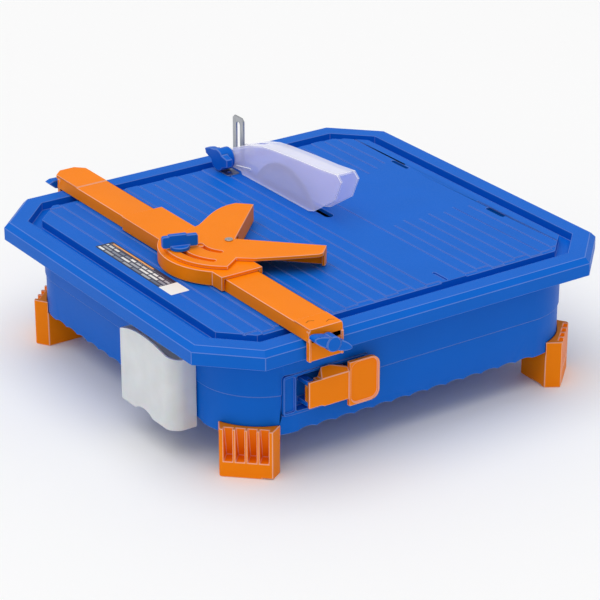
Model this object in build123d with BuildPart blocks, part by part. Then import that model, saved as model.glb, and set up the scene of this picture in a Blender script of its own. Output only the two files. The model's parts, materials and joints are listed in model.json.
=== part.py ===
"""Compact electric wet tile saw: a table over a water tub, with a clear blade guard and a clamp-on fence.

Frame: millimetres, +Z up, -Y is the operator's side, +X is to the operator's right.
The origin is on the ground, under the middle of the saw.
"""
from build123d import *
from math import atan2, cos, degrees, pi, radians, sin, sqrt
import os

os.makedirs("parts", exist_ok=True)

# ---------------------------------------------------------------- overall sizes
deck_length = 442.0          # along X, over the rim
deck_width = 418.0           # along Y, over the rim
deck_corner = 45.0           # leg of the cut corners of the rim
table_height = 131.0         # top of the table above the ground
rim_depth = 17.0             # height of the rim's outer skirt
rim_bevel = 5.0              # bevel round the rim's top edge
rim_width = 21.0             # flat rim between its outer face and the water channel
channel_width = 12.0
channel_depth = 8.0
skin = 3.0                   # wall of the moulded deck and of the tub
plate_thickness = 4.0        # ribbed table plate
plank_pitch = 14.5           # spacing of the table's long grooves
groove_width = 1.3
groove_depth = 1.0

side_overhang = 31.0         # how far the rim overhangs the tub at the left and right
end_overhang = 19.0          # and at the front and rear
tub_length = deck_length - 2 * side_overhang
tub_width = deck_width - 2 * end_overhang
tub_corner = 60.0            # corner radius of the tub
tub_bottom = 36.0            # underside of the tub above the ground
tub_step_height = 74.0       # height of the parting step round the tub
tub_step = 1.0               # how far the step stands out
scallop_pitch = 20.0         # wavy lower edge of the tub
scallop_depth = 2.2

# ---------------------------------------------------------------- clearances
fit_gap = 0.3                # between pieces that are screwed or laid together
running_gap = 0.05           # radial, between a pin or shaft and its bore
sliding_gap = 0.4            # between the fence and what slides on or along it
screw_gap = 0.1              # radial, round a screw's shank

# ---------------------------------------------------------------- blade and drive
blade_x = 40.0
blade_y = 82.0
arbor_height = table_height - 31.0
blade_diameter = 115.0
blade_thickness = 1.6
rim_thickness = 2.0          # diamond rim of the blade
rim_band = 7.0
blade_bore = 22.2
arbor_diameter = 12.0
flange_diameter = 40.0
slot_width = 9.0             # blade slot in the table
slot_front = blade_y - 78.0
slot_rear = blade_y + 94.0

motor_y = blade_y - 95.0
motor_z = 79.0
motor_diameter = 72.0
motor_length = 64.0
motor_x = 97.0               # left face of the motor can
motor_shaft_diameter = 8.0
drive_pulley_diameter = 26.0
driven_pulley_diameter = 30.0
pulley_x = 76.0
pulley_width = 14.0
belt_width = 10.0
belt_thickness = 1.8

box_left = blade_x + 10.0    # sealed motor box, outside faces
box_right = 182.0
box_front = -56.0
box_rear = blade_y + 26.0
box_bottom = tub_bottom + skin + 0.5
box_top = table_height - channel_depth - skin
box_wall = 2.5
box_lid = 3.0
box_ear = 14.0
box_screw_radius = 2.0

bearing_outer = 28.0
bearing_width = 8.0
bearing_x = (60.0, 98.0)

# ---------------------------------------------------------------- riving knife and guard
knife_thickness = 1.6
knife_width = 19.0           # of its upright part, above the table
knife_top = table_height + 52.0
knife_slot_width = 6.4
knife_slot_low = table_height + 8.0
knife_slot_high = table_height + 46.5
guard_width = 21.0
guard_wall = 2.0
guard_bolt_y = blade_y + 80.5
guard_bolt_z = table_height + 12.2
guard_bolt_diameter = 6.0
guard_travel = 28.0
guard_tab_radius = 9.0
knob_hub_radius = 10.8

# ---------------------------------------------------------------- fence and mitre guide
fence_left = -136.0
fence_width = 36.0
fence_height = 11.0          # bar height above the table
fence_wall = 3.0
fence_overhang = 17.0        # how far the bar reaches past the rim at the rear
hook_bottom = table_height - 18.0
hook_thickness = 4.0
clamp_height = table_height - 1.0    # height of the two clamp screws
clamp_screw_diameter = 6.0

carriage_front = -85.0
carriage_rear = 85.0
carriage_wall = 3.0
pivot_x = -93.0
pivot_y = -25.0
sector_radius = 64.5         # half disc under the mitre head
head_sector_radius = 59.0
head_thickness = 3.2
inner_slot_radius = 27.0
outer_slot_radius = 47.5
arc_slot_width = 5.4
mitre_knob_angle = 170.0
pivot_screw_diameter = 6.0
mitre_screw_diameter = 5.0

# ---------------------------------------------------------------- switch, chute, feet
switch_left = -145.0
switch_right = -58.0
switch_low = 54.0
switch_high = 92.0
switch_depth = 30.0
paddle_pin_x = -121.5
paddle_pin_out = 3.5         # how far the pin stands off the tub's wall
paddle_pin_diameter = 3.0

chute_rear = -34.0
chute_front = -122.0
chute_depth = 25.0
chute_bottom = 30.0
chute_top = 106.0
chute_wall = 2.0

foot_height = 46.0
foot_band = 15.0             # solid band under the foot's open pocket
foot_rib = 2.6

# ---------------------------------------------------------------- sizes worked out from the above
half_length = deck_length / 2
half_width = deck_width / 2
fence_rear = half_width + fence_overhang
guard_left = blade_x - guard_width / 2
guard_right = blade_x + guard_width / 2
knife_front = guard_bolt_y - knife_width / 2
knife_rear = guard_bolt_y + knife_width / 2
tub_half_x = tub_length / 2
tub_half_y = tub_width / 2
inset_leg = 2 - sqrt(2)      # how much a cut corner's leg shrinks per unit of inset
channel_floor = table_height - channel_depth
deck_underside = channel_floor - skin
plate_underside = table_height - plate_thickness
plate_half_length = half_length - rim_width - channel_width
plate_half_width = half_width - rim_width - channel_width
plate_corner = deck_corner - inset_leg * (rim_width + channel_width)
blade_radius = blade_diameter / 2
fence_right = fence_left + fence_width
fence_x = (fence_left + fence_right) / 2
fence_floor = table_height + fit_gap
fence_top = table_height + fence_height
carriage_top = fence_top + sliding_gap + carriage_wall
carriage_floor = table_height + 1.0
head_floor = carriage_top + fit_gap
head_top = head_floor + head_thickness
tub_floor = tub_bottom + skin
paddle_pin_y = -(tub_half_y + paddle_pin_out)


def octagon(inset):
    """Corner points of the rim's outline, moved inwards by an even distance."""
    x = half_length - inset
    y = half_width - inset
    leg = deck_corner - inset_leg * inset
    return [
        (x, y - leg), (x - leg, y), (leg - x, y), (-x, y - leg),
        (-x, leg - y), (leg - x, -y), (x - leg, -y), (x, leg - y),
    ]


def ring_x(x_from, x_to, y, z, radius, bore=0.0):
    """Round piece along X, with a bore if one is given."""
    with BuildPart() as piece:
        with BuildSketch(Plane.YZ.offset(x_from)):
            with Locations((y, z)):
                Circle(radius)
                if bore > 0:
                    Circle(bore, mode=Mode.SUBTRACT)
        extrude(amount=x_to - x_from)
    return piece.part


def ring_y(y_from, y_to, x, z, radius, bore=0.0):
    """Round piece along Y, with a bore if one is given."""
    with BuildPart() as piece:
        with BuildSketch(Plane.XZ.offset(-y_from)):
            with Locations((x, z)):
                Circle(radius)
                if bore > 0:
                    Circle(bore, mode=Mode.SUBTRACT)
        extrude(amount=y_from - y_to)
    return piece.part


def ring_z(z_from, z_to, x, y, radius, bore=0.0):
    """Round piece along Z, with a bore if one is given."""
    with BuildPart() as piece:
        with BuildSketch(Plane.XY.offset(z_from)):
            with Locations((x, y)):
                Circle(radius)
                if bore > 0:
                    Circle(bore, mode=Mode.SUBTRACT)
        extrude(amount=z_to - z_from)
    return piece.part


def block(x_range, y_range, z_range):
    """Plain block between two corners."""
    with BuildPart() as piece:
        with Locations((x_range[0], y_range[0], z_range[0])):
            Box(
                x_range[1] - x_range[0], y_range[1] - y_range[0], z_range[1] - z_range[0],
                align=(Align.MIN, Align.MIN, Align.MIN),
            )
    return piece.part


def save(piece, name):
    """Label a finished piece and write its STEP file."""
    piece.label = name
    export_step(piece, f"parts/{name}.step")


# ================================================================ places shared by several pieces
deck_screw_spots = [
    (sx * x, sy * y)
    for sx in (-1, 1)
    for sy in (-1, 1)
    for x, y in ((20.0, tub_half_y - 23.0), (tub_half_x - 22.0, tub_half_y - 60.0))
]
box_ear_spots = [
    (x, y)
    for x in (box_left + 16.0, box_right - 16.0)
    for y in (box_front - box_ear / 2 + 1.0, box_rear + box_ear / 2 - 1.0)
]
deck_boss_radius = 5.0
deck_screw_radius = 2.0
knife_foot_low = table_height - 27.0
knife_screw_y = (guard_bolt_y - 12.5, guard_bolt_y + 3.5)
knife_screw_z = table_height - 16.0
bracket_x = (blade_x + knife_thickness / 2, blade_x + knife_thickness / 2 + 5.0)

# ================================================================ water tub
chute_hook_y = (chute_rear - 22.0, chute_front + 22.0)
chute_hook_size = (10.0, 4.0)
chute_hook_z = 92.0
gland_x = 120.0
gland_z = 86.0
gland_radius = 7.0
drain_y = 40.0
drain_z = 48.0
drain_radius = 7.0
foot_screw_spot = (tub_half_x - 33.0, tub_half_y - 30.0)
foot_screw_radius = 2.5

with BuildPart() as tub:
    with BuildSketch(Plane.XY.offset(tub_bottom)):
        RectangleRounded(tub_length - 2 * tub_step, tub_width - 2 * tub_step, tub_corner - tub_step)
    extrude(amount=tub_step_height - tub_bottom)
    with BuildSketch(Plane.XY.offset(tub_step_height)):
        RectangleRounded(tub_length, tub_width, tub_corner)
    extrude(amount=deck_underside - tub_step_height)
    # the wavy lower edge
    scallop_radius = (scallop_pitch ** 2 / 4 + scallop_depth ** 2) / (2 * scallop_depth)
    scallop_count = int((tub_length - 2 * tub_corner) / scallop_pitch)
    with BuildSketch(Plane.XZ):
        with Locations((0, tub_bottom - scallop_radius + scallop_depth)):
            with GridLocations(scallop_pitch, 1, scallop_count, 1):
                Circle(scallop_radius)
    extrude(amount=tub_half_y + 1, both=True, mode=Mode.SUBTRACT)
    with BuildSketch(Plane.YZ):
        with Locations((0, tub_bottom - scallop_radius + scallop_depth)):
            with GridLocations(scallop_pitch, 1, scallop_count, 1):
                Circle(scallop_radius)
    extrude(amount=tub_half_x + 1, both=True, mode=Mode.SUBTRACT)
    # the water space
    with BuildSketch(Plane.XY.offset(tub_floor)):
        RectangleRounded(tub_length - 2 * skin, tub_width - 2 * skin, tub_corner - skin)
    extrude(amount=deck_underside - tub_floor, mode=Mode.SUBTRACT)
    # the window that the switch housing sits in
    with BuildSketch(Plane.XZ.offset(tub_half_y + 1)):
        with Locations(((switch_left + switch_right) / 2, (switch_low + switch_high) / 2)):
            RectangleRounded(
                switch_right - switch_left + 2 * fit_gap, switch_high - switch_low + 2 * fit_gap, 3.0
            )
    extrude(amount=-2 * skin, mode=Mode.SUBTRACT)
    # slots for the chute's two hooks
    with BuildSketch(Plane.YZ.offset(-tub_half_x - 1)):
        with Locations(*[(y, chute_hook_z) for y in chute_hook_y]):
            Rectangle(chute_hook_size[0] + 2 * fit_gap, chute_hook_size[1] + 2 * fit_gap)
    extrude(amount=2 * skin, mode=Mode.SUBTRACT)
    # holes for the cable gland and the drain plug
    with BuildSketch(Plane.XZ.offset(-tub_half_y + 2 * skin)):
        with Locations((gland_x, gland_z)):
            Circle(gland_radius + screw_gap)
    extrude(amount=-4 * skin, mode=Mode.SUBTRACT)
    with BuildSketch(Plane.YZ.offset(tub_half_x - 2 * skin)):
        with Locations((drain_y, drain_z)):
            Circle(drain_radius + screw_gap)
    extrude(amount=4 * skin, mode=Mode.SUBTRACT)
    # screw posts under the deck, and holes for the screws that hold the feet
    with BuildSketch(Plane.XY.offset(tub_floor)):
        with Locations(*deck_screw_spots):
            Circle(deck_boss_radius)
    extrude(amount=deck_underside - tub_floor)
    with BuildSketch(Plane.XY.offset(tub_bottom - 1)):
        with Locations(*deck_screw_spots):
            Circle(deck_screw_radius + screw_gap)
    extrude(amount=deck_underside - tub_bottom + 2, mode=Mode.SUBTRACT)
    with BuildSketch(Plane.XY.offset(tub_bottom - 1)):
        with Locations(*deck_screw_spots):
            Circle(2 * deck_screw_radius + screw_gap)
    extrude(amount=1 + skin, mode=Mode.SUBTRACT)
    with BuildSketch(Plane.XY.offset(tub_bottom - 1)):
        with GridLocations(2 * foot_screw_spot[0], 2 * foot_screw_spot[1], 2, 2):
            Circle(foot_screw_radius + screw_gap)
    extrude(amount=2 * skin, mode=Mode.SUBTRACT)
save(tub.part, "tub")

# ================================================================ deck
boss_bottom = box_top + fit_gap
with BuildPart() as deck:
    with BuildSketch(Plane.XY.offset(table_height - rim_depth)):
        Polygon(*octagon(0), align=None)
    extrude(amount=rim_depth)
    chamfer(deck.edges().group_by(Axis.Z)[-1], length=rim_bevel)
    # hollow under the rim, up to the channel
    with BuildSketch(Plane.XY.offset(table_height - rim_depth)):
        Polygon(*octagon(skin + 1), align=None)
    extrude(amount=deck_underside - (table_height - rim_depth), mode=Mode.SUBTRACT)
    with BuildSketch(Plane.XY.offset(deck_underside)):
        Polygon(*octagon(skin + 1), align=None)
        Polygon(*octagon(rim_width - skin), align=None, mode=Mode.SUBTRACT)
    extrude(amount=rim_depth - channel_depth - skin, mode=Mode.SUBTRACT, taper=12)
    # hollow under the table plate
    with BuildSketch(Plane.XY.offset(deck_underside - 1)):
        Polygon(*octagon(rim_width + channel_width + skin), align=None)
    extrude(amount=plate_underside - deck_underside + 1, mode=Mode.SUBTRACT)
    # water channel round the table plate
    with BuildSketch(Plane.XY.offset(channel_floor)):
        Polygon(*octagon(rim_width), align=None)
        Polygon(*octagon(rim_width + channel_width), align=None, mode=Mode.SUBTRACT)
    extrude(amount=channel_depth, mode=Mode.SUBTRACT)
    # long grooves, front to back: the right half stays plain in its middle
    groove_count = int(plate_half_length / plank_pitch)
    for index in range(-groove_count, groove_count + 1):
        groove_x = index * plank_pitch + plank_pitch / 4
        reach = plate_half_width - max(0.0, abs(groove_x) - plate_half_length + plate_corner)
        stagger = 3.0 * (index % 3)
        plain = groove_x > blade_x + 22.0
        front_end = -42.0 - 5.0 * (index % 2) if plain else reach
        rear_end = 74.0 + 7.0 * (index % 3) if plain else -reach
        if abs(groove_x - blade_x) < slot_width:
            continue
        with BuildSketch(Plane.XY.offset(table_height - groove_depth)):
            if plain:
                with Locations((groove_x, (front_end - reach) / 2)):
                    Rectangle(groove_width, front_end + reach)
                with Locations((groove_x, (reach + rear_end) / 2)):
                    Rectangle(groove_width, reach - rear_end)
            else:
                with Locations((groove_x, 0)):
                    Rectangle(groove_width, 2 * reach)
        extrude(amount=groove_depth, mode=Mode.SUBTRACT)
        # each plank stops at its own place short of the channel, at both ends
        with BuildSketch(Plane.XY.offset(table_height - groove_depth)):
            with Locations(
                (groove_x + plank_pitch / 2, -reach + stagger / 2),
                (groove_x + plank_pitch / 2, reach - stagger / 2),
            ):
                Rectangle(plank_pitch, 2.0 + stagger)
        extrude(amount=groove_depth, mode=Mode.SUBTRACT)
    # blade slot, with a sight notch on the cut line near the front edge
    with BuildSketch(Plane.XY.offset(deck_underside)):
        with Locations((blade_x, (slot_front + slot_rear) / 2)):
            SlotOverall(slot_rear - slot_front, slot_width, rotation=90)
    extrude(amount=table_height - deck_underside, mode=Mode.SUBTRACT)
    with BuildSketch(Plane.XY.offset(table_height - 2.0)):
        with Locations((blade_x, 12.0 - plate_half_width)):
            SlotOverall(20.0, 3.0, rotation=90)
    extrude(amount=2.0, mode=Mode.SUBTRACT)
    # drain slots through the plate on the right
    drain_slot_x = plate_half_length - 14.0
    with BuildSketch(Plane.XY.offset(plate_underside)):
        with Locations((drain_slot_x, 77.0), (drain_slot_x, -74.0)):
            SlotOverall(26.0, 4.5, rotation=90)
    extrude(amount=plate_thickness, mode=Mode.SUBTRACT)
    # small gussets under the front and rear rim
    for gusset_x in (-60.0, 20.0, 100.0):
        with BuildSketch(Plane.YZ.offset(gusset_x)):
            with BuildLine():
                Polyline(
                    (-half_width + skin, table_height - rim_depth), (-half_width + skin, table_height - 8.0),
                    (-half_width + skin + 8.0, table_height - 8.0), close=True,
                )
            make_face()
        extrude(amount=2.0)
    # screw bosses: for the tub, for the motor box
    with BuildSketch(Plane.XY.offset(deck_underside)):
        with Locations(*deck_screw_spots):
            Circle(deck_boss_radius)
    extrude(amount=plate_underside - deck_underside + 1)
    with BuildSketch(Plane.XY.offset(boss_bottom)):
        with Locations(*box_ear_spots):
            Circle(deck_boss_radius)
    extrude(amount=plate_underside - boss_bottom + 1)
    with BuildSketch(Plane.XY.offset(deck_underside - 1)):
        with Locations(*deck_screw_spots):
            Circle(deck_screw_radius + screw_gap)
        with Locations(*box_ear_spots):
            Circle(box_screw_radius + screw_gap)
    extrude(amount=plate_underside - deck_underside + 1, mode=Mode.SUBTRACT)
    # wall that the riving knife's bracket is screwed to
    with BuildSketch(Plane.XY.offset(knife_foot_low - 2.0)):
        with Locations((bracket_x[1] + fit_gap, guard_bolt_y - 3.5)):
            Rectangle(5.0, 30.0, align=(Align.MIN, Align.CENTER))
    extrude(amount=plate_underside - knife_foot_low + 3.0)
    with BuildSketch(Plane.YZ.offset(bracket_x[1])):
        with Locations(*[(y, knife_screw_z) for y in knife_screw_y]):
            Circle(2.0 + screw_gap)
    extrude(amount=8.0, mode=Mode.SUBTRACT)
save(deck.part, "deck")

# ================================================================ feet
# corners of a foot seen from above, as distances outwards from the tub's two walls
foot_corners = ((-41.0, -40.0), (-4.0, -40.0), (4.0, -27.0), (-30.0, 5.0), (-43.0, -3.0))
foot_outline = [(tub_half_x + out_x, tub_half_y + out_y) for out_x, out_y in foot_corners]
foot_face_a = Vector(foot_outline[2][0], foot_outline[2][1], 0)
foot_face_b = Vector(foot_outline[3][0], foot_outline[3][1], 0)
foot_along = (foot_face_b - foot_face_a).normalized()
foot_out = Vector(-foot_along.Y, foot_along.X, 0) * (-1)
foot_face_length = (foot_face_b - foot_face_a).length
foot_side = 3.6
foot_scoop_low = 14.0        # depth of the scoop at its floor
foot_scoop_high = 4.0        # depth of the scoop at its top
foot_bays = 4
foot_bay = (foot_face_length - 2 * foot_side - (foot_bays - 1) * foot_rib) / foot_bays
foot_plane = Plane(
    origin=(foot_face_a + foot_face_b) * 0.5, x_dir=foot_out, z_dir=foot_out.cross(Vector(0, 0, 1)),
)
foot_corner_cut = 9.0
foot_end_plane = Plane(
    origin=foot_face_b - foot_along * foot_corner_cut, x_dir=foot_along, z_dir=foot_out * (-1),
)
with BuildPart() as tub_outside:
    with BuildSketch(Plane.XY.offset(tub_bottom - scallop_depth / 10)):
        RectangleRounded(tub_length - 2 * tub_step, tub_width - 2 * tub_step, tub_corner - tub_step)
    extrude(amount=foot_height)

with BuildPart() as foot:
    with BuildSketch(Plane.XY):
        Polygon(*foot_outline, align=None)
    extrude(amount=foot_height)
    fillet(foot.edges().filter_by(Axis.Z).sort_by(Axis.X)[-1], radius=3.0)
    add(tub_outside.part, mode=Mode.SUBTRACT)
    # open bays in the outer face, deeper at the bottom than at the top
    for bay in range(foot_bays):
        shift = (bay - (foot_bays - 1) / 2) * (foot_bay + foot_rib)
        with BuildSketch(foot_plane.offset(shift - foot_bay / 2)):
            with BuildLine():
                Polyline(
                    (2.0, foot_band), (-foot_scoop_low, foot_band), (-foot_scoop_high, foot_height + 1.0),
                    (2.0, foot_height + 1.0), close=True,
                )
            make_face()
        extrude(amount=foot_bay, mode=Mode.SUBTRACT)
    # cut corner at one end of the lower band
    with BuildSketch(foot_end_plane):
        with BuildLine():
            Polyline((0, -1.0), (foot_corner_cut, -1.0), (foot_corner_cut, foot_corner_cut), close=True)
        make_face()
    extrude(amount=60.0, both=True, mode=Mode.SUBTRACT)
    # screw hole from inside the tub
    with BuildSketch(Plane.XY.offset(tub_bottom - 16.0)):
        with Locations(foot_screw_spot):
            Circle(foot_screw_radius)
    extrude(amount=17.0, mode=Mode.SUBTRACT)
foot_rear_right = foot.part
foot_rear_left = mirror(foot.part, about=Plane.YZ)
foot_front_right = mirror(foot.part, about=Plane.XZ)
foot_front_left = mirror(foot_rear_left, about=Plane.XZ)
save(foot_rear_right, "foot_rear_right")
save(foot_rear_left, "foot_rear_left")
save(foot_front_right, "foot_front_right")
save(foot_front_left, "foot_front_left")


def pan_head_screw(x, y, z_seat, direction, shank_radius, head_radius, head_height, length):
    """Upright screw: the head's seat is at z_seat and the shank runs up (1) or down (-1)."""
    shank_low = min(z_seat, z_seat + direction * length)
    head_low = z_seat if direction < 0 else z_seat - head_height
    shank = ring_z(shank_low, shank_low + length, x, y, shank_radius)
    head = ring_z(head_low, head_low + head_height, x, y, head_radius)
    slot_low = head_low + head_height - 0.8 if direction < 0 else head_low
    slot = block((x - 0.5, x + 0.5), (y - head_radius, y + head_radius), (slot_low, slot_low + 0.8))
    return (shank + head) - slot


def save_group(pieces, name):
    """Write several separate solids, such as like screws, as one node."""
    save(Compound(children=list(pieces)), name)


foot_screws = [
    pan_head_screw(
        sx * foot_screw_spot[0], sy * foot_screw_spot[1], tub_floor, -1,
        foot_screw_radius - screw_gap, 4.5, 2.4, 15.0,
    )
    for sx in (-1, 1)
    for sy in (-1, 1)
]
save_group(foot_screws, "foot_screws")
deck_screws = [
    pan_head_screw(
        x, y, tub_bottom + skin, 1, deck_screw_radius, 2 * deck_screw_radius - 0.2, 2.4,
        plate_underside - 1.0 - tub_floor,
    )
    for x, y in deck_screw_spots
]
save_group(deck_screws, "deck_screws")

# ================================================================ sealed motor box
ear_bottom = box_top - 5.0
arbor_hole_radius = 12.0
with BuildPart() as motor_box:
    with BuildSketch(Plane.XY.offset(box_bottom)):
        with Locations(((box_left + box_right) / 2, (box_front + box_rear) / 2)):
            RectangleRounded(box_right - box_left, box_rear - box_front, 6.0)
    extrude(amount=box_top - box_lid - box_bottom)
    with BuildSketch(Plane.XY.offset(ear_bottom - box_lid)):
        for x, y in box_ear_spots:
            with Locations((x, y)):
                SlotOverall(box_ear + 6.0, box_ear, rotation=90)
    extrude(amount=5.0)
    with BuildSketch(Plane.XY.offset(box_bottom + box_wall)):
        with Locations(((box_left + box_right) / 2, (box_front + box_rear) / 2)):
            RectangleRounded(box_right - box_left - 2 * box_wall, box_rear - box_front - 2 * box_wall, 4.0)
    extrude(amount=box_top, mode=Mode.SUBTRACT)
    # two saddles that carry the motor can
    saddle_radius = motor_diameter / 2 + fit_gap
    for x in (motor_x + 8.0, motor_x + motor_length - 14.0):
        with BuildSketch(Plane.YZ.offset(x)):
            with Locations((motor_y, box_bottom + box_wall - 0.5)):
                Rectangle(52.0, 22.0, align=(Align.CENTER, Align.MIN))
            with Locations((motor_y, motor_z)):
                Circle(saddle_radius, mode=Mode.SUBTRACT)
        extrude(amount=6.0)
    # arbor hole, and screw holes through the ears
    with BuildSketch(Plane.YZ.offset(box_left - 1)):
        with Locations((blade_y, arbor_height)):
            Circle(arbor_hole_radius)
    extrude(amount=box_wall + 2, mode=Mode.SUBTRACT)
    with BuildSketch(Plane.XY.offset(ear_bottom - box_lid - 1)):
        with Locations(*box_ear_spots):
            Circle(box_screw_radius + screw_gap)
    extrude(amount=8.0, mode=Mode.SUBTRACT)
save(motor_box.part, "motor_box")

with BuildPart() as motor_box_lid:
    with BuildSketch(Plane.XY.offset(box_top - box_lid)):
        with Locations(((box_left + box_right) / 2, (box_front + box_rear) / 2)):
            RectangleRounded(box_right - box_left, box_rear - box_front, 6.0)
        for x, y in box_ear_spots:
            with Locations((x, y)):
                SlotOverall(box_ear + 6.0, box_ear, rotation=90)
        with Locations(*box_ear_spots):
            Circle(box_screw_radius + screw_gap, mode=Mode.SUBTRACT)
    extrude(amount=box_lid)
save(motor_box_lid.part, "motor_box_lid")
box_screws = [
    pan_head_screw(
        x, y, ear_bottom - box_lid, 1, box_screw_radius, 3.8, 2.4,
        plate_underside - 1.0 - ear_bottom + box_lid,
    )
    for x, y in box_ear_spots
]
save_group(box_screws, "motor_box_screws")

# ================================================================ motor
can_radius = motor_diameter / 2
can_wall = 2.0
cap_thickness = 4.0
motor_right = motor_x + motor_length
motor_can = ring_x(motor_x, motor_right, motor_y, motor_z, can_radius, can_radius - can_wall)
save(motor_can, "motor_can")
stator = ring_x(motor_x + 8.0, motor_right - 8.0, motor_y, motor_z, can_radius - can_wall - 0.1, 19.5)
save(stator, "motor_stator")
shaft_radius = motor_shaft_diameter / 2
for cap_x, cap_name in ((motor_x - cap_thickness, "motor_cap_left"), (motor_right, "motor_cap_right")):
    with BuildPart() as motor_cap:
        with BuildSketch(Plane.YZ.offset(cap_x)):
            with Locations((motor_y, motor_z)):
                Circle(can_radius)
                Circle(shaft_radius + running_gap, mode=Mode.SUBTRACT)
                with PolarLocations(22.0, 6):
                    Circle(4.0, mode=Mode.SUBTRACT)
        extrude(amount=cap_thickness)
    save(motor_cap.part, cap_name)
rotor = ring_x(motor_x + 8.0, motor_right - 8.0, motor_y, motor_z, 19.0, shaft_radius)
save(rotor, "motor_rotor")
fan_x = motor_right + cap_thickness + 1.5
motor_shaft = ring_x(pulley_x - 3.0, fan_x + 9.0, motor_y, motor_z, shaft_radius)
save(motor_shaft, "motor_shaft")
with BuildPart() as motor_fan:
    with BuildSketch(Plane.YZ.offset(fan_x)):
        with Locations((motor_y, motor_z)):
            Circle(28.0)
            Circle(shaft_radius, mode=Mode.SUBTRACT)
    extrude(amount=1.5)
    with BuildSketch(Plane.YZ.offset(fan_x + 1.5)):
        with Locations((motor_y, motor_z)):
            Circle(8.0)
            Circle(shaft_radius, mode=Mode.SUBTRACT)
            with PolarLocations(17.0, 9):
                Rectangle(20.0, 1.6)
    extrude(amount=6.5)
save(motor_fan.part, "motor_fan")


def pulley(y, z, radius, bore, name):
    """Belt pulley with two low flanges."""
    with BuildPart() as wheel:
        add(ring_x(pulley_x, pulley_x + pulley_width, y, z, radius - belt_thickness, bore))
        add(ring_x(pulley_x, pulley_x + 1.5, y, z, radius, bore))
        add(ring_x(pulley_x + pulley_width - 1.5, pulley_x + pulley_width, y, z, radius, bore))
    save(wheel.part, name)


drive_groove = drive_pulley_diameter / 2 - belt_thickness
driven_groove = driven_pulley_diameter / 2 - belt_thickness
pulley(motor_y, motor_z, drive_pulley_diameter / 2, shaft_radius, "drive_pulley")
pulley(blade_y, arbor_height, driven_pulley_diameter / 2, arbor_diameter / 2, "driven_pulley")


def belt_face(grow):
    """Outline of the belt loop round both pulley grooves, as a face in the YZ plane."""
    small = drive_groove + fit_gap + grow
    large = driven_groove + fit_gap + grow
    dy = blade_y - motor_y
    dz = arbor_height - motor_z
    span = sqrt(dy * dy + dz * dz)
    lean = atan2(dz, dy)
    spread = (large - small) / span
    up = lean + pi / 2 + spread
    down = lean - pi / 2 - spread
    with BuildSketch(Plane.YZ.offset(pulley_x + (pulley_width - belt_width) / 2)) as loop:
        with Locations((motor_y, motor_z)):
            Circle(small)
        with Locations((blade_y, arbor_height)):
            Circle(large)
        Polygon(
            (motor_y + small * cos(up), motor_z + small * sin(up)),
            (blade_y + large * cos(up), arbor_height + large * sin(up)),
            (blade_y + large * cos(down), arbor_height + large * sin(down)),
            (motor_y + small * cos(down), motor_z + small * sin(down)),
            align=None,
        )
    return loop.sketch


outer_loop = belt_face(belt_thickness)
inner_loop = belt_face(0.0)
with BuildPart() as drive_belt:
    extrude(outer_loop, amount=belt_width)
    extrude(inner_loop, amount=belt_width, mode=Mode.SUBTRACT)
save(drive_belt.part, "drive_belt")

# ================================================================ arbor and blade
arbor_radius = arbor_diameter / 2
blade_left = blade_x - blade_thickness / 2
blade_right = blade_x + blade_thickness / 2
inner_flange_right = blade_right + 5.0
outer_flange_left = blade_left - 5.0
nut_left = outer_flange_left - 8.0
with BuildPart() as arbor_shaft:
    add(ring_x(nut_left - 2.0, bearing_x[1] + bearing_width + 2.0, blade_y, arbor_height, arbor_radius))
    chamfer(arbor_shaft.edges().group_by(Axis.X)[0], length=1.0)
save(arbor_shaft.part, "arbor_shaft")

with BuildPart() as inner_flange:
    add(ring_x(blade_right, inner_flange_right, blade_y, arbor_height, flange_diameter / 2, arbor_radius))
    pilot_radius = blade_bore / 2 - running_gap
    add(ring_x(blade_left + 0.2, blade_right, blade_y, arbor_height, pilot_radius, arbor_radius))
    with BuildSketch(Plane.YZ.offset(blade_right)):
        with Locations((blade_y, arbor_height)):
            Circle(flange_diameter / 2 - 4.0)
            Circle(pilot_radius, mode=Mode.SUBTRACT)
    extrude(amount=1.0, mode=Mode.SUBTRACT)
save(inner_flange.part, "inner_flange")

with BuildPart() as outer_flange:
    add(ring_x(outer_flange_left, blade_left, blade_y, arbor_height, flange_diameter / 2, arbor_radius))
    with BuildSketch(Plane.YZ.offset(blade_left - 1.0)):
        with Locations((blade_y, arbor_height)):
            Circle(flange_diameter / 2 - 4.0)
            Circle(arbor_radius, mode=Mode.SUBTRACT)
    extrude(amount=1.0, mode=Mode.SUBTRACT)
    chamfer(outer_flange.edges().group_by(Axis.X)[0].sort_by(SortBy.LENGTH)[-1], length=1.5)
save(outer_flange.part, "outer_flange")

with BuildPart() as arbor_nut:
    with BuildSketch(Plane.YZ.offset(nut_left)):
        with Locations((blade_y, arbor_height)):
            RegularPolygon(10.4, 6)
            Circle(arbor_radius, mode=Mode.SUBTRACT)
    extrude(amount=outer_flange_left - nut_left)
save(arbor_nut.part, "arbor_nut")

with BuildPart() as blade:
    add(ring_x(blade_left, blade_right, blade_y, arbor_height, blade_radius - rim_band + 1.0, blade_bore / 2))
    add(
        ring_x(
            blade_x - rim_thickness / 2, blade_x + rim_thickness / 2, blade_y, arbor_height,
            blade_radius, blade_radius - rim_band,
        )
    )
    with BuildSketch(Plane.YZ.offset(blade_left - 1.0)):
        with Locations((blade_y, arbor_height)):
            with PolarLocations(34.0, 6):
                Circle(4.0)
    extrude(amount=blade_thickness + 2.0, mode=Mode.SUBTRACT)
save(blade.part, "blade")

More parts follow.
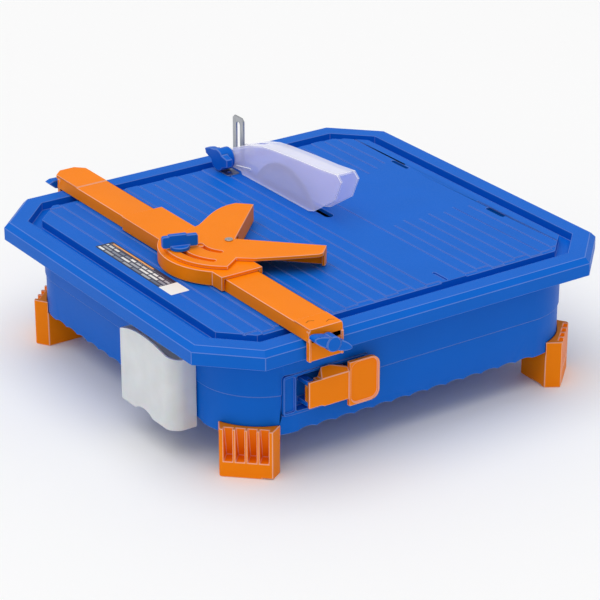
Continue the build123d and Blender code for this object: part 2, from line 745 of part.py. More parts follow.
# bearings, their bracket and the shaft seal
bearing_radius = bearing_outer / 2
bracket_low = arbor_height - bearing_radius - 12.0
bracket_wall = 4.0
housing_left = box_left + box_wall
with BuildPart() as arbor_housing:
    with BuildSketch(Plane.YZ.offset(housing_left)):
        with Locations((blade_y, arbor_height - 2.0)):
            RectangleRounded(38.0, 36.0, 4.0)
    extrude(amount=bearing_x[0] + bearing_width + 3.0 - housing_left)
    with BuildSketch(Plane.YZ.offset(bearing_x[1] - 3.0)):
        with Locations((blade_y, arbor_height - 2.0)):
            RectangleRounded(38.0, 36.0, 4.0)
    extrude(amount=bearing_width + 6.0)
    with BuildSketch(Plane.XY.offset(bracket_low - 3.0)):
        with Locations((housing_left, blade_y)):
            Rectangle(
                bearing_x[1] + bearing_width + 3.0 - housing_left, 38.0, align=(Align.MIN, Align.CENTER),
            )
    extrude(amount=arbor_height - 20.0 - bracket_low + 3.0)
    # two legs down to the floor of the box
    for x in (bearing_x[0], bearing_x[1]):
        with BuildSketch(Plane.XY.offset(box_bottom + box_wall)):
            with Locations((x + bearing_width / 2, blade_y)):
                Rectangle(bearing_width, 38.0)
        extrude(amount=bracket_low - box_bottom - box_wall)
    # through hole and the two bearing seats
    with BuildSketch(Plane.YZ.offset(housing_left - 1.0)):
        with Locations((blade_y, arbor_height)):
            Circle(arbor_radius + 4.0)
    extrude(amount=box_right, mode=Mode.SUBTRACT)
    for x in bearing_x:
        with BuildSketch(Plane.YZ.offset(x)):
            with Locations((blade_y, arbor_height)):
                Circle(bearing_radius + running_gap)
        extrude(amount=bearing_width + 3.0, mode=Mode.SUBTRACT)
save(arbor_housing.part, "arbor_housing")


def bearing(x, name):
    """Ball bearing as one ring with a groove on each face between its races."""
    with BuildPart() as race:
        add(
            ring_x(
                x, x + bearing_width, blade_y, arbor_height, bearing_radius, arbor_radius + running_gap,
            )
        )
        for face_x in (x, x + bearing_width - 0.6):
            with BuildSketch(Plane.YZ.offset(face_x)):
                with Locations((blade_y, arbor_height)):
                    Circle(bearing_radius - 2.2)
                    Circle(arbor_radius + 2.4, mode=Mode.SUBTRACT)
            extrude(amount=0.6, mode=Mode.SUBTRACT)
    save(race.part, name)


bearing(bearing_x[0], "arbor_bearing_left")
bearing(bearing_x[1], "arbor_bearing_right")
with BuildPart() as shaft_seal:
    seal_bore = arbor_radius + running_gap
    seal_radius = arbor_hole_radius - running_gap
    seal_lip = 1.5
    add(ring_x(box_left - seal_lip, housing_left, blade_y, arbor_height, seal_radius, seal_bore))
    add(ring_x(box_left - seal_lip, box_left, blade_y, arbor_height, arbor_hole_radius + 2.0, seal_bore))
save(shaft_seal.part, "shaft_seal")

# ================================================================ riving knife
knife_left = blade_x - knife_thickness / 2
knife_gap = 4.0              # between the blade's rim and the knife
with BuildPart() as riving_knife:
    with BuildSketch(Plane.YZ.offset(knife_left)):
        with BuildLine():
            Polyline(
                (knife_front - 12.0, knife_foot_low), (knife_rear, knife_foot_low),
                (knife_rear, knife_top - 3.0), (knife_rear - 3.0, knife_top),
                (knife_front + 3.0, knife_top), (knife_front, knife_top - 3.0),
                (knife_front, table_height), (knife_front - 12.0, table_height - 6.0), close=True,
            )
        make_face()
        with Locations((blade_y, arbor_height)):
            Circle(blade_radius + knife_gap, mode=Mode.SUBTRACT)
        with Locations((guard_bolt_y, (knife_slot_low + knife_slot_high) / 2)):
            SlotOverall(knife_slot_high - knife_slot_low, knife_slot_width, rotation=90, mode=Mode.SUBTRACT)
        with Locations(*[(y, knife_screw_z) for y in knife_screw_y]):
            Circle(2.0 + screw_gap, mode=Mode.SUBTRACT)
    extrude(amount=knife_thickness)
save(riving_knife.part, "riving_knife")

bracket_top = plate_underside - fit_gap
with BuildPart() as knife_bracket:
    with BuildSketch(Plane.YZ.offset(bracket_x[0])):
        with Locations(((knife_screw_y[0] + knife_screw_y[1]) / 2, (knife_foot_low + bracket_top) / 2)):
            Rectangle(28.0, bracket_top - knife_foot_low)
        with Locations(*[(y, knife_screw_z) for y in knife_screw_y]):
            Circle(2.0 + screw_gap, mode=Mode.SUBTRACT)
    extrude(amount=bracket_x[1] - bracket_x[0])
save(knife_bracket.part, "knife_bracket")


def side_screw(x_seat, y, z, shank_radius, head_radius, head_height, length):
    """Screw along +X with its head on the left of x_seat."""
    shank = ring_x(x_seat, x_seat + length, y, z, shank_radius)
    head = ring_x(x_seat - head_height, x_seat, y, z, head_radius)
    head_left = x_seat - head_height
    slot = block((head_left, head_left + 0.8), (y - head_radius, y + head_radius), (z - 0.5, z + 0.5))
    return (shank + head) - slot


knife_screws = [side_screw(knife_left, y, knife_screw_z, 2.0, 3.6, 2.2, 11.0) for y in knife_screw_y]
save_group(knife_screws, "knife_screws")

# small steel clip on the table beside the slot, which keeps the knife upright
clip_x = (blade_x - 24.0, blade_x - 10.0)
clip_y = guard_bolt_y - 9.5
clip_thickness = 0.8
with BuildPart() as knife_clip:
    with BuildSketch(Plane.XY.offset(table_height)):
        with Locations(((clip_x[0] + clip_x[1]) / 2, clip_y)):
            RectangleRounded(clip_x[1] - clip_x[0], 16.0, 2.5)
            Circle(2.0 + screw_gap, mode=Mode.SUBTRACT)
    extrude(amount=clip_thickness)
save(knife_clip.part, "knife_clip")

# ================================================================ blade guard
# the top edge from the rear to the front, as (distance in front of the arbor, height above the table)
guard_crest = (
    (-75.0, 23.5), (-46.0, 35.0), (-23.0, 41.0), (-1.0, 43.5), (37.0, 46.6), (75.0, 49.0), (101.0, 51.7),
)
# and the front and lower edge, back to the rear
guard_lower_edge = ((108.0, 46.0), (98.0, 25.0), (64.0, 3.0), (55.0, fit_gap), (-59.0, fit_gap))
guard_roof_thickness = 2.3
guard_crest_points = [(blade_y - front, table_height + up) for front, up in guard_crest]
guard_lower_points = [(blade_y - front, table_height + up) for front, up in guard_lower_edge]
guard_profile = guard_crest_points + guard_lower_points
guard_roof = guard_crest_points + [(y, z - guard_roof_thickness) for y, z in reversed(guard_crest_points)]
tab_root = (blade_y + 58.0, table_height + 23.0)      # where the bolt's tab joins the wall
boss_gap = 0.25
with BuildPart() as guard:
    with BuildSketch(Plane.YZ.offset(guard_left)):
        Polygon(*guard_profile, align=None)
        with Locations((guard_bolt_y, guard_bolt_z)):
            Circle(guard_tab_radius)
        Polygon(
            (guard_bolt_y, guard_bolt_z - guard_tab_radius), (guard_bolt_y, guard_bolt_z + guard_tab_radius),
            tab_root, (tab_root[0], guard_bolt_z - guard_tab_radius), align=None,
        )
    extrude(amount=guard_wall)
    with BuildSketch(Plane.YZ.offset(guard_right - guard_wall)):
        Polygon(*guard_profile, align=None)
        with Locations((guard_bolt_y, guard_bolt_z)):
            Circle(guard_tab_radius)
        Polygon(
            (guard_bolt_y, guard_bolt_z - guard_tab_radius), (guard_bolt_y, guard_bolt_z + guard_tab_radius),
            tab_root, (tab_root[0], guard_bolt_z - guard_tab_radius), align=None,
        )
    extrude(amount=guard_wall)
    with BuildSketch(Plane.YZ.offset(guard_left)):
        Polygon(*guard_roof, align=None)
    extrude(amount=guard_right - guard_left)
    # bosses that take up the space each side of the knife
    add(
        ring_x(
            guard_left, knife_left - boss_gap, guard_bolt_y, guard_bolt_z, guard_tab_radius - 2.0,
            guard_bolt_diameter / 2 + screw_gap,
        )
    )
    add(
        ring_x(
            knife_left + knife_thickness + boss_gap, guard_right, guard_bolt_y, guard_bolt_z,
            guard_tab_radius - 2.0, guard_bolt_diameter / 2 + screw_gap,
        )
    )
    # slot in the roof that the knife passes through as the guard tilts
    add(
        block(
            (blade_x - 3.0, blade_x + 3.0), (blade_y + 30.0, blade_y + 78.0),
            (table_height + 19.0, table_height + 53.0),
        ),
        mode=Mode.SUBTRACT,
    )
    bolt_hole = guard_bolt_diameter / 2 + screw_gap
    add(
        ring_x(guard_left - 1.0, guard_right + 1.0, guard_bolt_y, guard_bolt_z, bolt_hole),
        mode=Mode.SUBTRACT,
    )
    # raised stiffening rib on each wall, beside the bolt
    for x in (guard_left - 0.8, guard_right):
        with BuildSketch(Plane.YZ.offset(x)):
            with Locations((guard_bolt_y - 24.5, guard_bolt_z - 3.7)):
                SlotOverall(26.0, 2.0, rotation=-10)
        extrude(amount=0.8)
save(guard.part, "guard")

# bolt: its flats ride in the knife's slot, so it slides and doesn't turn
knob_left = blade_x - 26.0
knob_right = guard_left - 0.8 - fit_gap
bolt_end = guard_right + 0.8 + fit_gap
with BuildPart() as guard_bolt:
    add(ring_x(knob_left + 4.0, bolt_end, guard_bolt_y, guard_bolt_z, guard_bolt_diameter / 2))
    with BuildSketch(Plane.YZ.offset(bolt_end)):
        with Locations((guard_bolt_y, guard_bolt_z)):
            RegularPolygon(5.6, 6)
    extrude(amount=4.0)
save(guard_bolt.part, "guard_bolt")

lever_angle = 10.0
with BuildPart() as guard_knob:
    with BuildSketch(Plane.YZ.offset(knob_left)):
        with Locations((guard_bolt_y, guard_bolt_z)):
            Circle(knob_hub_radius)
    extrude(amount=knob_right - knob_left)
    # pointed wing to the rear, and a short one to the front
    with BuildSketch(Plane.YZ.offset(knob_left)):
        with BuildLine():
            Polyline(
                (guard_bolt_y - 2.0, guard_bolt_z + knob_hub_radius - 0.5),
                (guard_bolt_y + 13.0, guard_bolt_z + 9.0), (guard_bolt_y + 22.0, guard_bolt_z + 6.0),
                (guard_bolt_y + 20.0, guard_bolt_z + 1.0), (guard_bolt_y + 9.0, guard_bolt_z - 3.0),
                (guard_bolt_y, guard_bolt_z - 4.0), close=True,
            )
        make_face()
    extrude(amount=7.0)
    with BuildSketch(Plane.YZ.offset(knob_left)):
        with BuildLine():
            Polyline(
                (guard_bolt_y + 2.0, guard_bolt_z + knob_hub_radius - 2.0),
                (guard_bolt_y - 18.0, guard_bolt_z + 5.0), (guard_bolt_y - 18.0, guard_bolt_z - 3.0),
                (guard_bolt_y, guard_bolt_z - 8.0), close=True,
            )
        make_face()
    extrude(amount=7.0)
    knob_bore = guard_bolt_diameter / 2 + running_gap
    add(
        ring_x(knob_left + 3.9, knob_right + 1.0, guard_bolt_y, guard_bolt_z, knob_bore),
        mode=Mode.SUBTRACT,
    )
save(guard_knob.part, "guard_knob")

# ================================================================ fence
hook_inner = half_width + 0.6
hook_outer = hook_inner + hook_thickness
fence_front = hook_outer     # the bar ends flush with its front hook
cap_step = 0.8
rear_cap = 48.0              # length of the raised cap at each end of the bar
front_cap = 23.6
hook_rib = 1.2               # raised ribs down both sides of the front hook
roof_thickness = 3.4         # roof over the rear clamp
pad_width = 16.0
pad_low = table_height - 15.5
pad_high = clamp_height + 5.0
pad_thickness = 2.0
pad_pocket = pad_thickness + 0.1
bar_inner_top = fence_top - fence_wall
with BuildPart() as fence_bar:
    with BuildSketch(Plane.XZ.offset(fence_front)):
        with BuildLine():
            Polyline(
                (fence_left, fence_floor), (fence_left + 1.6, fence_top), (fence_right - 1.0, fence_top),
                (fence_right, fence_floor), close=True,
            )
        make_face()
    extrude(amount=-(fence_front + fence_rear))
    with BuildSketch(Plane.XZ.offset(half_width - rim_width)):
        with Locations((fence_x, fence_floor - 1.0)):
            Rectangle(
                fence_width - 2 * fence_wall, bar_inner_top - fence_floor + 1.0,
                align=(Align.CENTER, Align.MIN),
            )
    extrude(amount=-2 * (half_width - rim_width), mode=Mode.SUBTRACT)
    # slightly proud end caps
    with BuildSketch(Plane.XY.offset(fence_top)):
        with Locations((fence_x, fence_rear - rear_cap / 2)):
            Rectangle(fence_width - 3.0, rear_cap)
        with Locations((fence_x, front_cap / 2 - fence_front)):
            Rectangle(fence_width - 3.0, front_cap)
    extrude(amount=cap_step)
    # open space under the rear cap for the clamp's lever
    with BuildSketch(Plane.XY.offset(fence_floor - 1.0)):
        with Locations((fence_x, hook_outer)):
            Rectangle(fence_width + 2.0, fence_rear, align=(Align.CENTER, Align.MIN))
    extrude(amount=fence_top + cap_step - roof_thickness - fence_floor + 1.0, mode=Mode.SUBTRACT)
    # hooks over the front and rear rim
    for plane in (Plane.XZ.offset(hook_outer), Plane.XZ.offset(-hook_inner)):
        with BuildSketch(plane):
            with Locations((fence_x, hook_bottom)):
                Rectangle(
                    fence_width - 1.0, bar_inner_top + 1.0 - hook_bottom, align=(Align.CENTER, Align.MIN),
                )
        extrude(amount=-hook_thickness)
    # raised ribs down the sides of the front hook
    with BuildSketch(Plane.XZ.offset(hook_outer)):
        for rib_x in (fence_left + 1.5, fence_right - 1.5):
            with Locations((rib_x, hook_bottom)):
                Rectangle(2.0, fence_floor - hook_bottom + fence_wall, align=(Align.CENTER, Align.MIN))
    extrude(amount=hook_rib)
    # pockets that the clamp pads sit in
    for plane in (Plane.XZ.offset(hook_inner + pad_pocket), Plane.XZ.offset(-hook_inner + 0.6)):
        with BuildSketch(plane):
            with Locations((fence_x, (pad_low + pad_high) / 2)):
                Rectangle(pad_width + 2 * fit_gap, pad_high - pad_low + 2 * fit_gap)
        extrude(amount=-pad_pocket - 0.6, mode=Mode.SUBTRACT)
    # cut corners at the rear end of the bar
    for x, side in ((fence_left, 1), (fence_right, -1)):
        with BuildSketch(Plane.XY.offset(fence_floor)):
            Polygon(
                (x - side, fence_rear - 11.0), (x - side, fence_rear + 1.0),
                (x + 11.0 * side, fence_rear + 1.0), align=None,
            )
        extrude(amount=2 * fence_height, mode=Mode.SUBTRACT)
    # screw holes through both hooks
    with BuildSketch(Plane.XZ.offset(hook_outer + 1.0)):
        with Locations((fence_x, clamp_height)):
            Circle(clamp_screw_diameter / 2 + running_gap)
    extrude(amount=-2 * (hook_outer + 1.0), mode=Mode.SUBTRACT)
save(fence_bar.part, "fence_bar")

# pads, screws and wings of the two clamps
wing_face = hook_outer + fit_gap
wing_depth = fence_rear - wing_face      # the wings end in line with the bar's rear end
wing_reach = 21.0
wing_lean = -24.0            # how the front wing is left standing, in degrees
for end, side in (("front", -1), ("rear", 1)):
    pad_from = side * (half_width + 0.5)
    pad_to = side * (half_width + 0.5 + pad_thickness)
    pad = block(
        (fence_x - pad_width / 2, fence_x + pad_width / 2), sorted((pad_from, pad_to)), (pad_low, pad_high)
    )
    save(pad, f"{end}_clamp_pad")
    screw_from = pad_to + side * 0.15
    screw_to = side * (wing_face + wing_depth - 3.0)
    clamp_screw = ring_y(*sorted((screw_from, screw_to)), fence_x, clamp_height, clamp_screw_diameter / 2)
    save(clamp_screw, f"{end}_clamp_screw")

with BuildPart() as front_clamp_wing:
    with BuildSketch(Plane.XZ.offset(wing_face)):
        with Locations((fence_x, clamp_height)):
            Circle(7.0)
    extrude(amount=wing_depth)
    with BuildSketch(Plane.XZ.offset(wing_face + 2.0)):
        with Locations((fence_x, clamp_height)):
            Ellipse(wing_reach, 5.2, rotation=wing_lean)
    extrude(amount=wing_depth - 2.6)
    add(
        ring_y(-wing_face - wing_depth + 2.9, -wing_face, fence_x, clamp_height, clamp_screw_diameter / 2),
        mode=Mode.SUBTRACT,
    )
save(front_clamp_wing.part, "front_clamp_wing")

lever_reach = 25.0
with BuildPart() as rear_clamp_lever:
    with BuildSketch(Plane.XZ.offset(-wing_face - wing_depth)):
        with Locations((fence_x, clamp_height)):
            Circle(7.0)
    extrude(amount=wing_depth)
    with BuildSketch(Plane.XZ.offset(-wing_face - wing_depth)):
        with BuildLine():
            Polyline(
                (fence_x, clamp_height + 6.5), (fence_x - lever_reach + 5.0, clamp_height + 7.0),
                (fence_x - lever_reach, clamp_height + 5.0),
                (fence_x - lever_reach + 7.0, clamp_height - 1.0), (fence_x, clamp_height - 6.0), close=True,
            )
        make_face()
    extrude(amount=wing_depth - 3.0)
    add(
        ring_y(wing_face, wing_face + wing_depth - 2.9, fence_x, clamp_height, clamp_screw_diameter / 2),
        mode=Mode.SUBTRACT,
    )
save(rear_clamp_lever.part, "rear_clamp_lever")

# ================================================================ mitre guide
sleeve_left = fence_left - sliding_gap - carriage_wall
sleeve_right = fence_right + sliding_gap + carriage_wall
knob_x = pivot_x + outer_slot_radius * cos(radians(mitre_knob_angle))
knob_y = pivot_y + outer_slot_radius * sin(radians(mitre_knob_angle))
peg_x = pivot_x + inner_slot_radius * cos(radians(mitre_knob_angle))
peg_y = pivot_y + inner_slot_radius * sin(radians(mitre_knob_angle))
peg_radius = arc_slot_width / 2 - 0.3
lug_radius = 9.0
stud_radius = mitre_screw_diameter / 2
stud_low = carriage_floor + 3.0
with BuildPart() as mitre_carriage:
    with BuildSketch(Plane.XY.offset(carriage_floor)):
        with Locations((sleeve_left, carriage_front)):
            Rectangle(
                sleeve_right - sleeve_left, carriage_rear - carriage_front, align=(Align.MIN, Align.MIN),
            )
        with Locations((pivot_x, pivot_y)):
            Circle(lug_radius)
    extrude(amount=carriage_top - carriage_floor)
    with BuildSketch(Plane.XY.offset(carriage_floor)):
        with Locations((pivot_x, pivot_y)):
            Circle(sector_radius)
        with Locations((sleeve_left + 1.0, pivot_y)):
            Rectangle(
                3 * sector_radius, 3 * sector_radius, align=(Align.MIN, Align.CENTER), mode=Mode.SUBTRACT,
            )
    extrude(amount=carriage_top - carriage_floor)
    # hollow inside of the half disc
    with BuildSketch(Plane.XY.offset(carriage_floor)):
        with Locations((pivot_x, pivot_y)):
            Circle(sector_radius - carriage_wall)
        with Locations((sleeve_left, pivot_y)):
            Rectangle(
                3 * sector_radius, 3 * sector_radius, align=(Align.MIN, Align.CENTER), mode=Mode.SUBTRACT,
            )
        with Locations((knob_x, knob_y)):
            Circle(stud_radius + 3.5, mode=Mode.SUBTRACT)
    extrude(amount=carriage_top - carriage_wall - carriage_floor, mode=Mode.SUBTRACT)
    # channel that the bar runs through
    with BuildSketch(Plane.XZ.offset(-carriage_rear - 1.0)):
        with BuildLine():
            Polyline(
                (fence_left - sliding_gap, carriage_floor - 1.0),
                (fence_left - sliding_gap, fence_top + sliding_gap),
                (fence_right + sliding_gap, fence_top + sliding_gap),
                (fence_right + sliding_gap, carriage_floor - 1.0), close=True,
            )
        make_face()
    extrude(amount=carriage_rear - carriage_front + 2.0, mode=Mode.SUBTRACT)
    # guide peg in the inner arc slot, and holes for the pivot and the knob's stud
    with BuildSketch(Plane.XY.offset(carriage_top - 1.0)):
        with Locations((peg_x, peg_y)):
            Circle(peg_radius)
    extrude(amount=1.0 + fit_gap + head_thickness - 0.6)
    with BuildSketch(Plane.XY.offset(carriage_floor)):
        with Locations((pivot_x, pivot_y)):
            Circle(pivot_screw_diameter / 2 + running_gap)
        with Locations((knob_x, knob_y)):
            Circle(stud_radius + running_gap)
    extrude(amount=head_top, mode=Mode.SUBTRACT)
save(mitre_carriage.part, "mitre_carriage")

vertex_x = pivot_x + 6.5
arm_length = 84.0            # along each face of the 90 degree notch
arm_tip = 17.0               # width of an arm's end
arm_wall = 4.0
slot_from = mitre_knob_angle - 4.0
slot_to = mitre_knob_angle + 50.0


def along_arm(distance, outward, side):
    """Point beside the notch's face: distance from its vertex, outward from its face, side is 1 or -1."""
    diagonal = sqrt(0.5)
    x = vertex_x + (distance - outward) * diagonal
    y = pivot_y + side * (distance + outward) * diagonal
    return (x, y)


def slot_cutter(radius):
    """Solid of an arc slot round the pivot, as a ring clipped to the slot's two ends."""
    outside = radius + arc_slot_width / 2
    inside = radius - arc_slot_width / 2
    ring = ring_z(head_floor - 1.0, head_top + 1.0, pivot_x, pivot_y, outside, inside)
    reach = 2 * head_sector_radius
    with BuildPart() as wedge:
        with BuildSketch(Plane.XY.offset(head_floor - 1.0)):
            Polygon(
                (pivot_x, pivot_y),
                (pivot_x + reach * cos(radians(slot_from)), pivot_y + reach * sin(radians(slot_from))),
                (pivot_x + reach * cos(radians(slot_to)), pivot_y + reach * sin(radians(slot_to))),
                align=None,
            )
        extrude(amount=head_thickness + 2.0)
    body = ring & wedge.part
    for angle in (slot_from, slot_to):
        x = pivot_x + radius * cos(radians(angle))
        y = pivot_y + radius * sin(radians(angle))
        body = body + ring_z(head_floor - 1.0, head_top + 1.0, x, y, arc_slot_width / 2)
    return body


inner_slot = slot_cutter(inner_slot_radius)
outer_slot = slot_cutter(outer_slot_radius)
sector_start = 148.0
sector_end = 236.0
with BuildPart() as mitre_head:
    with BuildSketch(Plane.XY.offset(head_floor)):
        with BuildLine():
            arc = CenterArc((pivot_x, pivot_y), head_sector_radius, sector_start, sector_end - sector_start)
            Polyline(
                arc @ 1, (pivot_x - 16.0, pivot_y - 37.0), (pivot_x - 3.0, pivot_y - 48.0),
                along_arm(58.0, 30.0, -1), along_arm(arm_length - 3.0, arm_tip + 4.0, -1),
                along_arm(arm_length, arm_tip, -1), along_arm(arm_length, 0, -1), (vertex_x, pivot_y),
                along_arm(arm_length, 0, 1), along_arm(arm_length, arm_tip, 1),
            )
            # the rear arm swells outwards between its tip and its root
            Spline(
                along_arm(arm_length, arm_tip, 1), along_arm(arm_length - 8.0, arm_tip + 8.0, 1),
                along_arm(60.0, 32.5, 1), (pivot_x - 3.0, pivot_y + 46.0),
            )
            Polyline((pivot_x - 3.0, pivot_y + 46.0), arc @ 0)
        make_face()
    extrude(amount=head_thickness)
    # walls under the two faces of the notch, down to the table
    for side in (1, -1):
        with BuildSketch(Plane.XY.offset(carriage_floor)):
            Polygon(
                along_arm(17.0, 0, side), along_arm(arm_length, 0, side),
                along_arm(arm_length, arm_wall, side), along_arm(17.0, arm_wall, side), align=None,
            )
            Polygon(
                along_arm(arm_length - 3.0, 0, side), along_arm(arm_length, 0, side),
                along_arm(arm_length, 8.0, side), along_arm(arm_length - 3.0, 8.0, side), align=None,
            )
        extrude(amount=head_floor - carriage_floor + 0.5)
    with BuildSketch(Plane.XY.offset(head_floor)):
        with Locations((pivot_x, pivot_y)):
            Circle(pivot_screw_diameter / 2 + running_gap)
    extrude(amount=head_thickness, mode=Mode.SUBTRACT)
    add(inner_slot, mode=Mode.SUBTRACT)
    add(outer_slot, mode=Mode.SUBTRACT)
save(mitre_head.part, "mitre_head")

pivot_screw = ring_z(carriage_floor + 0.5, head_top + 0.2, pivot_x, pivot_y, pivot_screw_diameter / 2)
pivot_cap = ring_z(head_top + 0.1, head_top + 1.2, pivot_x, pivot_y, 3.8)
save(pivot_screw + pivot_cap, "mitre_pivot_screw")
knob_floor = head_top + 0.2
knob_height = 13.0
knob_hub_height = 3.6
mitre_stud = ring_z(stud_low, knob_floor + knob_hub_height - 1.0, knob_x, knob_y, stud_radius)
save(mitre_stud, "mitre_stud")
knob_turn = -18.0
mitre_hub_radius = 9.0
plate_half_thickness = 2.4
with BuildPart() as mitre_knob:
    with BuildSketch(Plane.XY.offset(knob_floor)):
        with Locations((knob_x, knob_y)):
            Circle(mitre_hub_radius)
    extrude(amount=knob_hub_height)
    wing_plane = Plane(
        origin=(knob_x, knob_y, knob_floor + 2.0),
        x_dir=(cos(radians(knob_turn)), sin(radians(knob_turn)), 0),
        z_dir=(sin(radians(knob_turn)), -cos(radians(knob_turn)), 0),
    )
    with BuildSketch(wing_plane):
        with Locations((0, (knob_height - 2.0) / 2)):
            RectangleRounded(33.0, knob_height - 2.0, 2.0)
        with Locations((-2.0, knob_height - 2.4)):
            RectangleRounded(17.0, 3.2, 1.2)
    extrude(amount=plate_half_thickness, both=True)
    with BuildSketch(Plane.XY.offset(knob_floor)):
        with Locations((knob_x, knob_y)):
            Circle(stud_radius + running_gap)
    extrude(amount=knob_hub_height - 0.8, mode=Mode.SUBTRACT)
save(mitre_knob.part, "mitre_knob")

# ================================================================ switch
switch_x = (switch_left + switch_right) / 2
switch_z = (switch_low + switch_high) / 2
switch_face = tub_half_y
recess = 9.0
switch_wall = 2.5
pocket_left = switch_left + 13.0
pocket_x = (pocket_left + switch_right - switch_wall) / 2
pocket_width = switch_right - switch_wall - pocket_left
panel_depth = 2.0
panel_lip = 1.3              # raised line between the panel and the pocket
rocker_x = -92.0
rocker_width = 20.0
rocker_height = 26.0
trunnion_radius = 2.4
ear_thickness = 4.0
ear_radius = 3.4             # rounded end of the two ears that hold the flap's pin
ear_low = switch_low + switch_wall + 4.5
ear_top = switch_high - switch_wall - 4.5
with BuildPart() as switch_housing:
    with BuildSketch(Plane.XZ.offset(switch_face)):
        with Locations((switch_x, switch_z)):
            RectangleRounded(switch_right - switch_left, switch_high - switch_low, 3.0)
    extrude(amount=-switch_depth)
    # pocket for the rocker and the flap's hinge, and a shallow panel to the left of it
    with BuildSketch(Plane.XZ.offset(switch_face)):
        with Locations((pocket_x, switch_z)):
            RectangleRounded(pocket_width, switch_high - switch_low - 2 * switch_wall, 2.0)
    extrude(amount=-recess, mode=Mode.SUBTRACT)
    with BuildSketch(Plane.XZ.offset(switch_face)):
        with Locations(((switch_left + pocket_left) / 2, switch_z)):
            RectangleRounded(pocket_left - switch_left - 2 * panel_lip, switch_high - switch_low - 5.0, 2.0)
    extrude(amount=-panel_depth, mode=Mode.SUBTRACT)
    with BuildSketch(Plane.XZ.offset(switch_face - recess - switch_wall)):
        with Locations((switch_x, switch_z)):
            RectangleRounded(
                switch_right - switch_left - 2 * switch_wall, switch_high - switch_low - 2 * switch_wall, 2.0
            )
    extrude(amount=-(switch_depth - recess - 2 * switch_wall), mode=Mode.SUBTRACT)
    with BuildSketch(Plane.XZ.offset(switch_face - recess)):
        with Locations((rocker_x, switch_z)):
            Rectangle(rocker_width + 2 * fit_gap, rocker_height + 2 * fit_gap)
    extrude(amount=-switch_wall, mode=Mode.SUBTRACT)
    # two ears that carry the paddle's pin
    for z in (ear_low, ear_top - ear_thickness):
        with BuildSketch(Plane.XY.offset(z)):
            with Locations((paddle_pin_x, (recess + 1.0 - switch_face + paddle_pin_y) / 2)):
                Rectangle(2 * ear_radius, recess + 1.0 - switch_face - paddle_pin_y)
            with Locations((paddle_pin_x, paddle_pin_y)):
                Circle(ear_radius)
                Circle(paddle_pin_diameter / 2, mode=Mode.SUBTRACT)
        extrude(amount=ear_thickness)
save(switch_housing.part, "switch_housing")

paddle_pin = ring_z(ear_low, ear_top, paddle_pin_x, paddle_pin_y, paddle_pin_diameter / 2)
save(paddle_pin, "paddle_pin")

body_front = switch_face - recess - fit_gap
rocker_axis_y = -(body_front + 1.0)
with BuildPart() as rocker_frame_part:
    with BuildSketch(Plane.XZ.offset(switch_face - recess - switch_wall - 0.1)):
        with Locations((rocker_x, switch_z)):
            Rectangle(rocker_width + 6.0, rocker_height + 4.0)
    extrude(amount=-12.0)
    with BuildSketch(Plane.XZ.offset(switch_face - recess - switch_wall - 0.1)):
        with Locations((rocker_x, switch_z)):
            Rectangle(rocker_width - 2.0, rocker_height - 2.0)
    extrude(amount=-9.0, mode=Mode.SUBTRACT)
save(rocker_frame_part.part, "switch_body")

with BuildPart() as rocker:
    with BuildSketch(Plane.YZ.offset(rocker_x - rocker_width / 2 + 1.5)):
        with BuildLine():
            Polyline(
                (rocker_axis_y - 2.0, switch_z - 11.0), (rocker_axis_y - 1.0, switch_z),
                (rocker_axis_y - 4.6, switch_z + 10.0), (rocker_axis_y + 3.6, switch_z + 9.0),
                (rocker_axis_y + 8.0, switch_z), (rocker_axis_y + 5.2, switch_z - 9.0), close=True,
            )
        make_face()
    extrude(amount=rocker_width - 3.0)
    # round trunnions that the rocker turns on
    trunnion_reach = rocker_width / 2 - 0.3
    add(
        ring_x(rocker_x - trunnion_reach, rocker_x + trunnion_reach, rocker_axis_y, switch_z, trunnion_radius)
    )
save(rocker.part, "switch_rocker")

